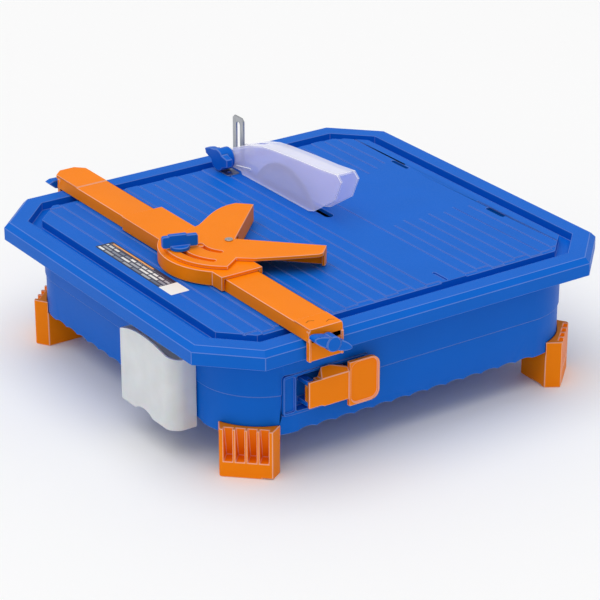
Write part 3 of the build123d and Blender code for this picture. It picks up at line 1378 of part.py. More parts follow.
# orange flap over the rocker, hinged behind its left end
plate_thickness_flap = 2.6
flap_front = paddle_pin_y - 6.5
flap_back = paddle_pin_y + 0.9
flap_low = ear_low - 0.5
flap_high = ear_top + 0.5
flap_hump = 9.0              # how much higher the flap is just past its shoulder
pad_left = -84.0
pad_right = -52.0
pad_height = 42.0
pad_back = flap_back - 4.4
pad_x = (pad_left + pad_right) / 2
barrel_low = ear_low + ear_thickness + fit_gap
barrel_high = ear_top - ear_thickness - fit_gap
shoulder_x = paddle_pin_x + 9.0
with BuildPart() as switch_paddle:
    # hinge barrel between the ears, and the web from it to the front plate
    add(ring_z(barrel_low, barrel_high, paddle_pin_x, paddle_pin_y, ear_radius))
    with BuildSketch(Plane.XY.offset(barrel_low)):
        with Locations((paddle_pin_x - ear_radius, flap_front)):
            Rectangle(3 * ear_radius, paddle_pin_y - flap_front, align=(Align.MIN, Align.MIN))
    extrude(amount=barrel_high - barrel_low)
    # front plate, which covers the ears, and the thick arm beside them
    with BuildSketch(Plane.XZ.offset(-flap_front - plate_thickness_flap)):
        with Locations((paddle_pin_x - 4.0, flap_low)):
            Rectangle(shoulder_x - paddle_pin_x + 6.0, flap_high - flap_low, align=(Align.MIN, Align.MIN))
    extrude(amount=plate_thickness_flap)
    with BuildSketch(Plane.XZ.offset(-flap_back)):
        Polygon(
            (paddle_pin_x + 4.6, flap_low), (paddle_pin_x + 4.6, flap_high), (shoulder_x, flap_high),
            (shoulder_x + 4.0, flap_high + flap_hump), (shoulder_x + 9.0, flap_high + flap_hump),
            (pad_left + 1.0, flap_high + 3.0), (pad_left + 1.0, flap_low - 1.5),
            (shoulder_x + 3.0, flap_low - 1.5), (shoulder_x, flap_low), align=None,
        )
    extrude(amount=flap_back - flap_front)
    # the top slopes back from the front face
    with BuildSketch(Plane.YZ.offset(paddle_pin_x)):
        Polygon(
            (flap_front - 1.0, flap_high - 1.0), (flap_back + 1.0, flap_high + flap_hump),
            (flap_back + 1.0, flap_high + 2 * flap_hump), (flap_front - 1.0, flap_high + 2 * flap_hump),
            align=None,
        )
    extrude(amount=pad_left - paddle_pin_x, mode=Mode.SUBTRACT)
    # finger pad with a raised rim: square to the left, rounded to the right
    with BuildSketch(Plane.XZ.offset(-pad_back)):
        with Locations((pad_x, switch_z)):
            RectangleRounded(pad_right - pad_left, pad_height, 9.0)
        with Locations((pad_left, switch_z)):
            Rectangle(pad_right - pad_left - 12.0, pad_height, align=(Align.MIN, Align.CENTER))
    extrude(amount=pad_back - flap_front + 1.2)
    with BuildSketch(Plane.XZ.offset(-flap_front - 0.6)):
        with Locations((pad_x, switch_z)):
            RectangleRounded(pad_right - pad_left - 3.2, pad_height - 3.2, 7.4)
    extrude(amount=3.0, mode=Mode.SUBTRACT)
    # hollow back that clears the rocker
    with BuildSketch(Plane.XZ.offset(-flap_back)):
        with Locations((rocker_x + 2.0, switch_z)):
            Rectangle(28.0, flap_high - flap_low - 2.0)
    extrude(amount=3.6, mode=Mode.SUBTRACT)
    # the pin's hole
    with BuildSketch(Plane.XY.offset(flap_low - 2.0)):
        with Locations((paddle_pin_x, paddle_pin_y)):
            Circle(paddle_pin_diameter / 2 + running_gap)
    extrude(amount=flap_high - flap_low + 4.0, mode=Mode.SUBTRACT)
save(switch_paddle.part, "switch_paddle")

# ================================================================ overflow chute on the left wall
chute_x = -tub_half_x - fit_gap
chute_face = chute_x - chute_depth
chute_front_radius = 13.0
chute_rear_radius = 3.5
with BuildPart() as water_chute:
    # outline seen from above: a flat face, tightly rounded at the rear and widely at the front
    with BuildSketch(Plane.XY.offset(chute_bottom)) as chute_outline:
        with Locations((chute_face, chute_front)):
            Rectangle(chute_depth, chute_rear - chute_front, align=(Align.MIN, Align.MIN))
        fillet(chute_outline.vertices().group_by(Axis.X)[0].sort_by(Axis.Y)[0], chute_front_radius)
        fillet(chute_outline.vertices().group_by(Axis.X)[0].sort_by(Axis.Y)[-1], chute_rear_radius)
    extrude(amount=chute_top - chute_bottom)
    with BuildSketch(Plane.XY.offset(chute_bottom + chute_wall)):
        offset(chute_outline.sketch.moved(Location((0, 0, chute_wall))), amount=-chute_wall)
    extrude(amount=chute_top, mode=Mode.SUBTRACT)
    # the top edge swells in its middle and falls away to both ends
    with BuildSketch(Plane.YZ.offset(chute_face - 1.0)):
        with BuildLine():
            Spline(
                (chute_rear + 1.0, chute_top - 9.0), (chute_rear - 10.0, chute_top - 5.0),
                (chute_rear - 32.0, chute_top - 1.0), (chute_rear - 61.0, chute_top - 2.5),
                (chute_front - 1.0, chute_top - 9.0),
            )
            Polyline(
                (chute_front - 1.0, chute_top - 9.0), (chute_front - 1.0, chute_top + 1.0),
                (chute_rear + 1.0, chute_top + 1.0), (chute_rear + 1.0, chute_top - 9.0),
            )
        make_face()
    extrude(amount=chute_depth + 2.0, mode=Mode.SUBTRACT)
    # wave in the bottom edge
    with BuildSketch(Plane.YZ.offset(chute_face - 1.0)):
        with Locations((chute_rear - 40.0, chute_bottom - 22.0)):
            Circle(26.5)
    extrude(amount=6.0, mode=Mode.SUBTRACT)
    # hooks through the tub wall
    for y in chute_hook_y:
        with BuildSketch(Plane.YZ.offset(chute_x - 1.0)):
            with Locations((y, chute_hook_z)):
                Rectangle(*chute_hook_size)
        extrude(amount=skin + fit_gap + 4.0)
save(water_chute.part, "water_chute")

# ================================================================ cable gland, drain plug, label
with BuildPart() as cable_gland:
    add(ring_y(tub_half_y - 9.0, tub_half_y + 9.0, gland_x, gland_z, gland_radius, 3.8))
    for y_from, y_to in ((tub_half_y + 0.1, tub_half_y + 6.0), (tub_half_y - 8.5, tub_half_y - skin - 0.1)):
        with BuildSketch(Plane.XZ.offset(-y_to)):
            with Locations((gland_x, gland_z)):
                RegularPolygon(10.5, 6)
                Circle(3.8, mode=Mode.SUBTRACT)
        extrude(amount=y_to - y_from)
    add(ring_y(tub_half_y + 6.0, tub_half_y + 15.0, gland_x, gland_z, 8.4, 3.8))
save(cable_gland.part, "cable_gland")

with BuildPart() as drain_plug:
    add(ring_x(tub_half_x - 8.0, tub_half_x + 1.0, drain_y, drain_z, drain_radius))
    with BuildSketch(Plane.YZ.offset(tub_half_x - tub_step + 0.1)):
        with Locations((drain_y, drain_z)):
            Circle(9.5)
    extrude(amount=3.0)
    with BuildSketch(Plane.YZ.offset(tub_half_x)):
        with Locations((drain_y, drain_z)):
            RectangleRounded(15.0, 4.0, 1.5)
    extrude(amount=8.0)
save(drain_plug.part, "drain_plug")

label_thickness = 0.15
with BuildPart() as rating_label:
    with BuildSketch(Plane.XY.offset(table_height)):
        with Locations((-169.5, 1.0)):
            RectangleRounded(19.0, 132.0, 1.0)
    extrude(amount=label_thickness)
save(rating_label.part, "rating_label")
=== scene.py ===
"""Looks of a compact wet tile saw, laid out as a Blender add-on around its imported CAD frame.

Every piece is in metres in the saw's own frame: +Z up, -Y towards the operator, +X to the operator's right.
"""
import json
from math import cos, radians, sin

import bpy
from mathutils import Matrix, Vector

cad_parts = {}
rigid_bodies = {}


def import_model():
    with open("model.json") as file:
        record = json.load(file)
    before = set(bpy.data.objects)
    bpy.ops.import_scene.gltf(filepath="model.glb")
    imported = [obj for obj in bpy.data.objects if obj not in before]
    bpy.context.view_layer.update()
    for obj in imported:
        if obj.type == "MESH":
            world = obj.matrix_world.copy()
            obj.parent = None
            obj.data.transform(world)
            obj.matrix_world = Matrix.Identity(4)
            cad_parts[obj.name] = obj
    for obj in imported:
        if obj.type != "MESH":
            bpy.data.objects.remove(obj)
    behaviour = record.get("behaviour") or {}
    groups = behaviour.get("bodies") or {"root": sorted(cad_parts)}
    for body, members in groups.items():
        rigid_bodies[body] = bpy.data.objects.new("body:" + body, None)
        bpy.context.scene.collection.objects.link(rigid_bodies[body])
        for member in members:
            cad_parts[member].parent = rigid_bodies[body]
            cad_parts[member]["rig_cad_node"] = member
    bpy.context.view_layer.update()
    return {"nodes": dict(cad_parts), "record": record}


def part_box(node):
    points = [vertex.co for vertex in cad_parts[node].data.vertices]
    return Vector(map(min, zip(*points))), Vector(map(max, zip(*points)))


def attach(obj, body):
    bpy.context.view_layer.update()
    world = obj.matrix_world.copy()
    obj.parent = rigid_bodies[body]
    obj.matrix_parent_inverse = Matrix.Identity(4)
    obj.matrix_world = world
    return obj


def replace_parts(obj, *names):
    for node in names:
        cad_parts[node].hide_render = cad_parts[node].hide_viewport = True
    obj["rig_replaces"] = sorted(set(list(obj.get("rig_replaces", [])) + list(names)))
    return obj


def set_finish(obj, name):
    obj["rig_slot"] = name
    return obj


bl_info = {
    "name": "Tile Saw Looks",
    "version": (1, 0, 0),
    "blender": (4, 5, 0),
    "location": "View3D > Sidebar > Tile Saw",
    "description": "Finishes a compact wet tile saw: mouldings, clear guard, metalwork, label and studio",
    "category": "Object",
}

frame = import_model()
MM = 0.001
BODY_OF = {node: body for body, nodes in frame["record"]["behaviour"]["bodies"].items() for node in nodes}
SLOT_OF = {part["node"]: part["material_slot"] for part in frame["record"]["subparts"]}

# vertices closer than this are one, and facets flatter than this are one face
WELD = 0.004 * MM
FLAT_WITHIN = radians(0.4)

# surface detail of the blade, the winding and the label
DIAMOND_RIM = 7.0 * MM
RIM_BLEND = 0.1 * MM
WIRE_MM = 0.8
BAR_LENGTH_MM = 16.0
ROW_PITCH_MM = 4.4
BLANK_END = 22 * MM
STRIPE_MARGIN = 4 * MM
STRIPE_LEFT = 3.2 * MM
STRIPE_RIGHT = 1.4 * MM

# the two moulded chevrons on the fence's front cap, measured from the cap's middle and front end
CHEVRON_PLACES = ((-7 * MM, 16 * MM), (9 * MM, 9 * MM))
CHEVRON_ARM = (5.0 * MM, 0.9 * MM, 0.1 * MM)
CHEVRON_LEAN = radians(28)
CHEVRON_SPREAD = 2.1 * MM


def linear(hex_colour):
    """sRGB hex colour as linear red, green, blue and alpha."""
    channels = [int(hex_colour[start:start + 2], 16) / 255 for start in (0, 2, 4)]
    return [
        value / 12.92 if value <= 0.04045 else ((value + 0.055) / 1.055) ** 2.4 for value in channels
    ] + [1.0]


def colour(name, default, description):
    """Colour property with an sRGB hex default."""
    return bpy.props.FloatVectorProperty(
        name=name, description=description, subtype="COLOR", size=4, min=0.0, max=1.0,
        default=linear(default),
    )


def length(name, default, description):
    """Length property with its default in metres."""
    return bpy.props.FloatProperty(
        name=name, description=description, unit="LENGTH", min=0.0, default=default
    )


class SawColours(bpy.types.PropertyGroup):
    """Colours of the saw's mouldings and metals."""
    body_blue: colour("Body blue", "0465CE", "Table, tub, knobs and switch housing")
    trim_orange: colour("Trim orange", "FF8600", "Feet, fence, mitre guide and switch flap")
    guard_tint: colour("Guard tint", "E2E0FF", "Faint lilac of the clear guard")
    chute_tint: colour("Chute tint", "EDEFF1", "Pale grey of the water chute")
    steel: colour("Steel", "B4B7BB", "Ground steel of the knife, shafts and flanges")
    zinc: colour("Zinc", "C9CBCB", "Zinc plate on screws and bolts")
    aluminium: colour("Aluminium", "B9BBBD", "Cast aluminium of the bearing housing and pulleys")
    rubber_black: colour("Rubber", "1A1A1B", "Belt, seal and clamp pads")
    film_white: colour("Film white", "F4F4F2", "Bars and blank end of the printed label")
    film_navy: colour("Film navy", "142446", "Ground of the printed label")
    floor: colour("Floor", "FAFAFA", "Plain studio floor")


class SawSizes(bpy.types.PropertyGroup):
    """Sizes that the finish of the pieces is made from."""
    body_edge: length("Body edge", 0.7 * MM, "Edge radius on the table, tub and feet")
    trim_edge: length("Trim edge", 0.45 * MM, "Edge radius on the fence, guide, flap and knobs")
    fine_edge: length("Fine edge", 0.2 * MM, "Edge radius on clear and metal pieces")
    floor_side: length("Floor side", 9.0, "Side of the square studio floor")


def colours():
    """The scene's colours."""
    return bpy.context.scene.saw_colours


def sizes():
    """The scene's sizes."""
    return bpy.context.scene.saw_sizes


# ---------------------------------------------------------------- material building

def add_node(material, kind, inputs, **settings):
    """Adds a node with its settings; each input is a value or the socket that feeds it."""
    node = material.node_tree.nodes.new(kind)
    for key, value in settings.items():
        setattr(node, key, value)
    for key, value in inputs.items():
        if isinstance(value, bpy.types.NodeSocket):
            material.node_tree.links.new(value, node.inputs[key])
        else:
            node.inputs[key].default_value = value
    return node


def principled(name, base, roughness, **sockets):
    """New material whose constants sit on the Principled shader's own sockets."""
    material = bpy.data.materials.new(name)
    material.use_nodes = True
    shader = material.node_tree.nodes["Principled BSDF"]
    shader.inputs["Base Color"].default_value = list(base)
    shader.inputs["Roughness"].default_value = roughness
    for key, value in sockets.items():
        shader.inputs[key.replace("_", " ")].default_value = value
    return material, shader


def feed(material, socket, target):
    """Links a socket to an input of the shader."""
    material.node_tree.links.new(socket, target)


def noise(material, vector, grain_mm, detail=2.0):
    """Noise whose grains are about that many millimetres across."""
    return add_node(
        material, "ShaderNodeTexNoise", {"Vector": vector, "Scale": 1000.0 / grain_mm, "Detail": detail}
    ).outputs["Fac"]


def mapped(material, value, low, high, to_low, to_high):
    """Value stretched from one range to another and held inside it."""
    return add_node(
        material, "ShaderNodeMapRange",
        {"Value": value, "From Min": low, "From Max": high, "To Min": to_low, "To Max": to_high},
    ).outputs["Result"]


def blended(material, factor, first, second, blend_type="MIX"):
    """Colour between two colours, by a factor."""
    return add_node(
        material, "ShaderNodeMix", {0: factor, 6: first, 7: second}, data_type="RGBA", blend_type=blend_type
    ).outputs[2]


def calculated(material, operation, first, second):
    """Result of a sum on two values."""
    return add_node(material, "ShaderNodeMath", {0: first, 1: second}, operation=operation).outputs["Value"]


def both(material, first, second):
    """1 where two values are both 1, 0 elsewhere."""
    return calculated(material, "MULTIPLY", first, second)


def between(material, value, start, end):
    """1 where a value lies between two limits, 0 elsewhere."""
    above = calculated(material, "GREATER_THAN", value, start)
    below = calculated(material, "LESS_THAN", value, end)
    return both(material, above, below)


def shaded(base, factor):
    """Base colour made darker or lighter."""
    return [min(1.0, channel * factor) for channel in base[:3]] + [1.0]


def paled(base, share):
    """Base colour moved towards white by a share."""
    return [channel + (1.0 - channel) * share for channel in base[:3]] + [1.0]


def bumped(material, shader, height, depth_mm, strength):
    """Feeds a height to the shader as a bump."""
    bump = add_node(
        material, "ShaderNodeBump", {"Height": height, "Distance": depth_mm * MM, "Strength": strength}
    )
    feed(material, bump.outputs["Normal"], shader.inputs["Normal"])


def object_coordinates(material):
    """The piece's own coordinates, in metres."""
    return add_node(material, "ShaderNodeTexCoord", {}).outputs["Object"]


def moulded_plastic(name, base, roughness):
    """Injection moulded plastic: satin, with a fine spark-eroded grain and faint flow clouds."""
    material, shader = principled(name, base, roughness, Specular_IOR_Level=0.10)
    place = object_coordinates(material)
    clouds = noise(material, place, 45.0, 3.0)
    # the mould's grain is about 0.15 mm; it is drawn coarser so that it shows
    grain = noise(material, place, 0.9)
    body = blended(material, clouds, shaded(base, 1.05), shaded(base, 0.93))
    feed(material, body, shader.inputs["Base Color"])
    satin = mapped(material, grain, 0.3, 0.7, roughness - 0.06, roughness + 0.08)
    feed(material, satin, shader.inputs["Roughness"])
    bumped(material, shader, grain, 0.04, 0.30)
    return material


def blue_abs():
    """Blue ABS, moulded satin: soft wide highlights and hardly any grain."""
    return moulded_plastic("blue_abs_moulded", colours().body_blue, 0.42)


def orange_abs():
    """Orange ABS, moulded satin: edges catch the light."""
    return moulded_plastic("orange_abs_moulded", colours().trim_orange, 0.40)


def dark_plastic():
    """Charcoal glass-filled plastic of the sealed box."""
    return moulded_plastic("charcoal_plastic_moulded", linear("2B2E33"), 0.5)


def black_nylon():
    """Black nylon: dull, slightly waxy."""
    return moulded_plastic("black_nylon_moulded", linear("161617"), 0.45)


def clear_polycarbonate():
    """Clear moulded polycarbonate: glossy, faintly lilac, painted whiter on top as light from above, with a
    faint painted glow, denser where it is seen edge on.
    """
    tint = colours().guard_tint
    # the weak glow stands for the light that the clear walls gather
    material, shader = principled(
        "clear_polycarbonate", tint, 0.12, IOR=1.58, Coat_Weight=0.3, Coat_Roughness=0.05,
        Emission_Color=tint, Emission_Strength=0.14,
    )
    facing = add_node(material, "ShaderNodeLayerWeight", {"Blend": 0.35}).outputs["Facing"]
    feed(material, mapped(material, facing, 0.1, 1.0, 0.22, 0.85), shader.inputs["Alpha"])
    # faces turned upwards are painted whiter: a painted highlight of the light from above
    normal = add_node(material, "ShaderNodeNewGeometry", {}).outputs["Normal"]
    upward = add_node(material, "ShaderNodeSeparateXYZ", {"Vector": normal}).outputs["Z"]
    top = mapped(material, upward, 0.3, 0.8, 0.0, 1.0)
    feed(material, blended(material, top, tint, linear("F6F6FA")), shader.inputs["Base Color"])
    place = object_coordinates(material)
    # faint waviness of a thin moulded wall, about 25 mm from crest to crest
    bumped(material, shader, noise(material, place, 25.0, 0.0), 0.25, 0.25)
    return material


def frosted_polypropylene():
    """Natural polypropylene: milky, soft gloss, a little see-through."""
    material, shader = principled(
        "frosted_polypropylene", colours().chute_tint, 0.28, IOR=1.49, Subsurface_Weight=0.25,
        Subsurface_Scale=0.004,
    )
    facing = add_node(material, "ShaderNodeLayerWeight", {"Blend": 0.4}).outputs["Facing"]
    feed(material, mapped(material, facing, 0.1, 0.9, 0.72, 0.97), shader.inputs["Alpha"])
    place = object_coordinates(material)
    clouds = noise(material, place, 18.0, 2.0)
    tint = blended(material, clouds, shaded(colours().chute_tint, 1.06), shaded(colours().chute_tint, 0.88))
    feed(material, tint, shader.inputs["Base Color"])
    bumped(material, shader, clouds, 0.4, 0.3)
    return material


def brushed_metal(name, base, roughness, stretch, scratch_mm):
    """Ground or drawn metal: fine lines along one axis, so stretch is small along the lines."""
    material, shader = principled(name, base, roughness, Metallic=1.0)
    place = object_coordinates(material)
    lines = add_node(material, "ShaderNodeMapping", {"Vector": place, "Scale": stretch}).outputs["Vector"]
    scratches = noise(material, lines, scratch_mm, 4.0)
    tone = blended(material, scratches, shaded(base, 1.08), shaded(base, 0.80))
    feed(material, tone, shader.inputs["Base Color"])
    worn = mapped(material, scratches, 0.3, 0.7, roughness - 0.08, roughness + 0.12)
    feed(material, worn, shader.inputs["Roughness"])
    bumped(material, shader, scratches, 0.02, 0.35)
    return material


def ground_steel():
    """Ground steel: grey with fine upright grinding lines."""
    return brushed_metal("ground_steel", colours().steel, 0.34, (1.0, 1.0, 0.06), 0.5)


def zinc_plate():
    """Zinc plated steel: pale, slightly blotchy passivated skin."""
    return brushed_metal("zinc_plated_steel", colours().zinc, 0.30, (1.0, 1.0, 1.0), 1.6)


def bearing_steel():
    """Polished bearing steel."""
    return brushed_metal("polished_bearing_steel", linear("D0D2D4"), 0.14, (1.0, 1.0, 1.0), 2.0)


def cast_aluminium():
    """Cast aluminium: dull and slightly pitted."""
    return brushed_metal("cast_aluminium", colours().aluminium, 0.46, (1.0, 1.0, 1.0), 0.8)


def black_paint():
    """Black baked paint on the motor's shell."""
    return moulded_plastic("black_baked_paint", linear("1D1F21"), 0.32)


def copper_winding():
    """Enamelled copper wire, wound round the stator: one band to each wire."""
    material, shader = principled("enamelled_copper_wire", linear("B9683A"), 0.30, Metallic=1.0)
    place = object_coordinates(material)
    # a wave node's scale counts bands in 2 pi units
    bands = add_node(
        material, "ShaderNodeTexWave", {"Vector": place, "Scale": 1000.0 / WIRE_MM / 6.3, "Distortion": 0.4},
        bands_direction="X",
    ).outputs["Fac"]
    # each band runs from dark to light across one wire: painted shade between the round wires
    tone = blended(material, bands, linear("7A3E1F"), linear("C9784A"))
    feed(material, tone, shader.inputs["Base Color"])
    bumped(material, shader, bands, 0.2, 0.6)
    return material


def black_rubber():
    """Moulded rubber: matt, dusty black."""
    material, shader = principled("black_rubber_moulded", colours().rubber_black, 0.72)
    place = object_coordinates(material)
    dust = noise(material, place, 6.0, 3.0)
    tone = blended(material, dust, colours().rubber_black, linear("2E2E2F"))
    feed(material, tone, shader.inputs["Base Color"])
    bumped(material, shader, noise(material, place, 0.7), 0.08, 0.4)
    return material


def blade_steel():
    """Saw blade: a ground steel core turned in fine rings, and a gritty sintered diamond rim."""
    low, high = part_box("blade")
    middle = (low + high) / 2
    radius = (high.z - low.z) / 2
    base = colours().steel
    material, shader = principled("blade_steel_diamond_rim", base, 0.30, Metallic=1.0)
    place = object_coordinates(material)
    centred = add_node(
        material, "ShaderNodeVectorMath", {0: place, 1: list(middle)}, operation="SUBTRACT"
    ).outputs["Vector"]
    flat = add_node(
        material, "ShaderNodeVectorMath", {0: centred, 1: (0.0, 1.0, 1.0)}, operation="MULTIPLY"
    ).outputs["Vector"]
    distance = add_node(material, "ShaderNodeVectorMath", {0: flat}, operation="LENGTH").outputs["Value"]
    rings = add_node(
        material, "ShaderNodeTexNoise", {"W": distance, "Scale": 1000.0 / 0.6, "Detail": 2.0},
        noise_dimensions="1D",
    ).outputs["Fac"]
    grit = add_node(
        material, "ShaderNodeTexVoronoi", {"Vector": place, "Scale": 1000.0 / 0.6}
    ).outputs["Distance"]
    rim_start = radius - DIAMOND_RIM
    rim = mapped(material, distance, rim_start - RIM_BLEND, rim_start + RIM_BLEND, 0.0, 1.0)
    core_tone = blended(material, rings, shaded(base, 1.05), shaded(base, 0.78))
    rim_tone = blended(material, grit, linear("6E6F72"), linear("9A9A98"))
    feed(material, blended(material, rim, core_tone, rim_tone), shader.inputs["Base Color"])
    feed(material, mapped(material, rim, 0.0, 1.0, 0.28, 0.62), shader.inputs["Roughness"])
    bumped(material, shader, calculated(material, "MULTIPLY", grit, rim), 0.3, 0.5)
    return material


def printed_film():
    """Navy printed film with rows of plain pale bars and an orange stripe, and a blank white front end."""
    low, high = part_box("rating_label")
    middle = (low + high) / 2
    half_width = (high.x - low.x) / 2
    half_length = (high.y - low.y) / 2
    white, navy = colours().film_white, colours().film_navy
    material, shader = principled("printed_label_film", white, 0.35)
    place = object_coordinates(material)
    centred = add_node(
        material, "ShaderNodeMapping", {"Vector": place, "Location": (-middle.x, -middle.y, 0.0)}
    ).outputs["Vector"]
    axes = add_node(material, "ShaderNodeSeparateXYZ", {"Vector": centred})
    across, along = axes.outputs["X"], axes.outputs["Y"]
    turned = add_node(
        material, "ShaderNodeMapping", {"Vector": centred, "Rotation": (0.0, 0.0, radians(90))}
    ).outputs["Vector"]
    # plain bars in rows, measured in millimetres, in place of printed lines
    bars = add_node(
        material, "ShaderNodeTexBrick",
        {
            "Vector": turned, "Scale": 1000.0, "Mortar Size": 0.9, "Mortar Smooth": 0.0,
            "Brick Width": BAR_LENGTH_MM, "Row Height": ROW_PITCH_MM,
            "Color1": list(white), "Color2": linear("5A6780"), "Mortar": list(navy),
        },
        offset=0.35, squash=0.6, squash_frequency=3,
    ).outputs["Color"]
    print_start = -half_length + BLANK_END
    printed = both(
        material, between(material, along, print_start, half_length - 2 * MM),
        between(material, across, -half_width + 1 * MM, half_width - STRIPE_MARGIN),
    )
    dark = between(material, along, print_start - 1 * MM, half_length)
    stripe = both(
        material, between(material, along, 0.2 * print_start, half_length - STRIPE_MARGIN),
        between(material, across, half_width - STRIPE_LEFT, half_width - STRIPE_RIGHT),
    )
    face = blended(material, printed, blended(material, dark, list(white), list(navy)), bars)
    pale_stripe = blended(material, stripe, face, linear("F2A65A"))
    feed(material, pale_stripe, shader.inputs["Base Color"])
    return material


def painted_highlight_edge():
    """Moulded edge of the clear guard with a painted highlight where it gathers the light: nearly white and
    nearly solid.
    """
    return principled("clear_polycarbonate_edge", linear("FFFFFF"), 0.15, Alpha=0.95)[0]


MAKERS = {
    "blue_abs": blue_abs,
    "orange_abs": orange_abs,
    "clear_polycarbonate": clear_polycarbonate,
    "frosted_polypropylene": frosted_polypropylene,
    "zinc_plated_steel": zinc_plate,
    "bright_steel": ground_steel,
    "blade_steel": blade_steel,
    "bearing_steel": bearing_steel,
    "painted_steel": black_paint,
    "copper_winding": copper_winding,
    "cast_aluminium": cast_aluminium,
    "black_nylon": black_nylon,
    "dark_plastic": dark_plastic,
    "rubber": black_rubber,
    "label_film": printed_film,
}
# paler materials for the rounded edges of some slots: painted highlights where the edges catch the light
EDGE_HIGHLIGHT_MAKERS = {
    "blue_abs": lambda: moulded_plastic("blue_abs_edge", paled(colours().body_blue, 0.10), 0.36),
    "orange_abs": lambda: moulded_plastic("orange_abs_edge", paled(colours().trim_orange, 0.30), 0.32),
    "clear_polycarbonate": painted_highlight_edge,
    "frosted_polypropylene": lambda: moulded_plastic("frosted_polypropylene_edge", linear("FAFBFC"), 0.25),
}
made = {}


def material_of(slot):
    """The material of a slot, made once."""
    if slot not in made:
        # an _edge slot is the paler painted highlight on a slot's rounded edges
        makers = EDGE_HIGHLIGHT_MAKERS if slot.endswith("_edge") else MAKERS
        made[slot] = makers[slot.removesuffix("_edge")]()
    return made[slot]


# ---------------------------------------------------------------- modelling helpers

def clear_selection():
    """Clears the selection."""
    bpy.ops.object.select_all(action="DESELECT")


def only(piece):
    """Selects one piece and makes it active."""
    clear_selection()
    piece.select_set(True)
    bpy.context.view_layer.objects.active = piece


def dressed(piece, slot):
    """Gives a piece the material of a slot."""
    piece.data.materials.clear()
    piece.data.materials.append(material_of(slot))
    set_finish(piece, slot)
    return piece


def rounded_copy(node, radius, segments=2, angle=32, flat=False):
    """Copy of a CAD node with its facets merged and its edges rounded, standing for that node.

    Edges sharper than the angle in degrees are rounded, and take the slot's edge material, a paler colour
    painted on as a highlight, if it has one.
    A flat piece keeps one shade on each facet.
    """
    source = frame["nodes"][node]
    piece = bpy.data.objects.new(f"{node}_finished", source.data.copy())
    bpy.context.scene.collection.objects.link(piece)
    dressed(piece, SLOT_OF[node])
    only(piece)
    bpy.ops.object.mode_set(mode="EDIT")
    bpy.ops.mesh.select_all(action="SELECT")
    bpy.ops.mesh.remove_doubles(threshold=WELD)
    bpy.ops.mesh.dissolve_limited(angle_limit=FLAT_WITHIN)
    bpy.ops.object.mode_set(mode="OBJECT")
    if not flat:
        bpy.ops.object.shade_smooth_by_angle(angle=radians(angle))
    bevel = piece.modifiers.new("edge_round", "BEVEL")
    bevel.width = radius
    bevel.segments = segments
    bevel.limit_method = "ANGLE"
    bevel.angle_limit = radians(angle)
    bevel.use_clamp_overlap = False
    bevel.harden_normals = not flat
    # the rounded edges take the paler edge material: a painted highlight
    if SLOT_OF[node] in EDGE_HIGHLIGHT_MAKERS:
        piece.data.materials.append(material_of(SLOT_OF[node] + "_edge"))
        bevel.material = 1
    bpy.ops.object.modifier_apply(modifier=bevel.name)
    if flat:
        bpy.ops.object.shade_flat()
    # corners that the rounding pushed out are held inside the piece's own box
    low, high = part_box(node)
    for vertex in piece.data.vertices:
        vertex.co = [min(max(value, least), most) for value, least, most in zip(vertex.co, low, high)]
    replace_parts(piece, node)
    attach(piece, BODY_OF[node])
    return piece


def painted_shade_mark_material():
    """Dark orange plastic: painted shade of a moulded mark's relief."""
    if "mark" not in made:
        made["mark"] = moulded_plastic("orange_abs_mark_painted_shade", shaded(colours().trim_orange, 0.45), 0.5)
    return made["mark"]


def carried(node):
    """CAD node kept as it is, with its finish."""
    return dressed(frame["nodes"][node], SLOT_OF[node])


# ---------------------------------------------------------------- pieces

class SAW_OT_body(bpy.types.Operator):
    """Rounds the edges of the table and the tub"""
    bl_idname = "saw.body"
    bl_label = "Table and Tub"

    def execute(self, context):
        rounded_copy("deck", sizes().trim_edge, flat=True)
        rounded_copy("tub", sizes().body_edge)
        rounded_copy("drain_plug", sizes().fine_edge)
        return {"FINISHED"}


class SAW_OT_feet(bpy.types.Operator):
    """Rounds the edges of the four corner feet"""
    bl_idname = "saw.feet"
    bl_label = "Feet"

    def execute(self, context):
        for node in ("foot_front_left", "foot_front_right", "foot_rear_left", "foot_rear_right"):
            rounded_copy(node, sizes().body_edge)
        return {"FINISHED"}


class SAW_OT_fence(bpy.types.Operator):
    """Finishes the fence bar and its two clamps"""
    bl_idname = "saw.fence"
    bl_label = "Fence and Clamps"

    def execute(self, context):
        rounded_copy("fence_bar", sizes().trim_edge)
        self.add_marks()
        for node in ("front_clamp_wing", "rear_clamp_lever"):
            rounded_copy(node, 2 * sizes().trim_edge, segments=3)
        for node in ("front_clamp_screw", "rear_clamp_screw", "front_clamp_pad", "rear_clamp_pad"):
            carried(node)
        return {"FINISHED"}

    def add_marks(self):
        """Two small moulded chevrons on the front cap, let into its top face and coloured dark as painted
        shade of their relief.
        """
        low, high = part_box("fence_bar")
        middle = (low.x + high.x) / 2
        for number, (across, along) in enumerate(CHEVRON_PLACES):
            arms = []
            for side in (-1, 1):
                clear_selection()
                bpy.ops.mesh.primitive_cube_add(size=1.0, location=(0, 0, 0))
                arm = bpy.context.object
                centre = (middle + across + side * CHEVRON_SPREAD, low.y + along, high.z)
                bpy.ops.object.mode_set(mode="EDIT")
                bpy.ops.transform.resize(value=CHEVRON_ARM, center_override=(0, 0, 0))
                bpy.ops.transform.rotate(
                    value=side * CHEVRON_LEAN, orient_axis="Z", center_override=(0, 0, 0)
                )
                bpy.ops.transform.translate(value=centre)
                bpy.ops.object.mode_set(mode="OBJECT")
                arms.append(arm)
            only(arms[0])
            arms[1].select_set(True)
            bpy.ops.object.join()
            mark = bpy.context.object
            mark.name = f"fence_mark_{number + 1}"
            mark.data.materials.clear()
            mark.data.materials.append(painted_shade_mark_material())
            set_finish(mark, SLOT_OF["fence_bar"])
            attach(mark, BODY_OF["fence_bar"])


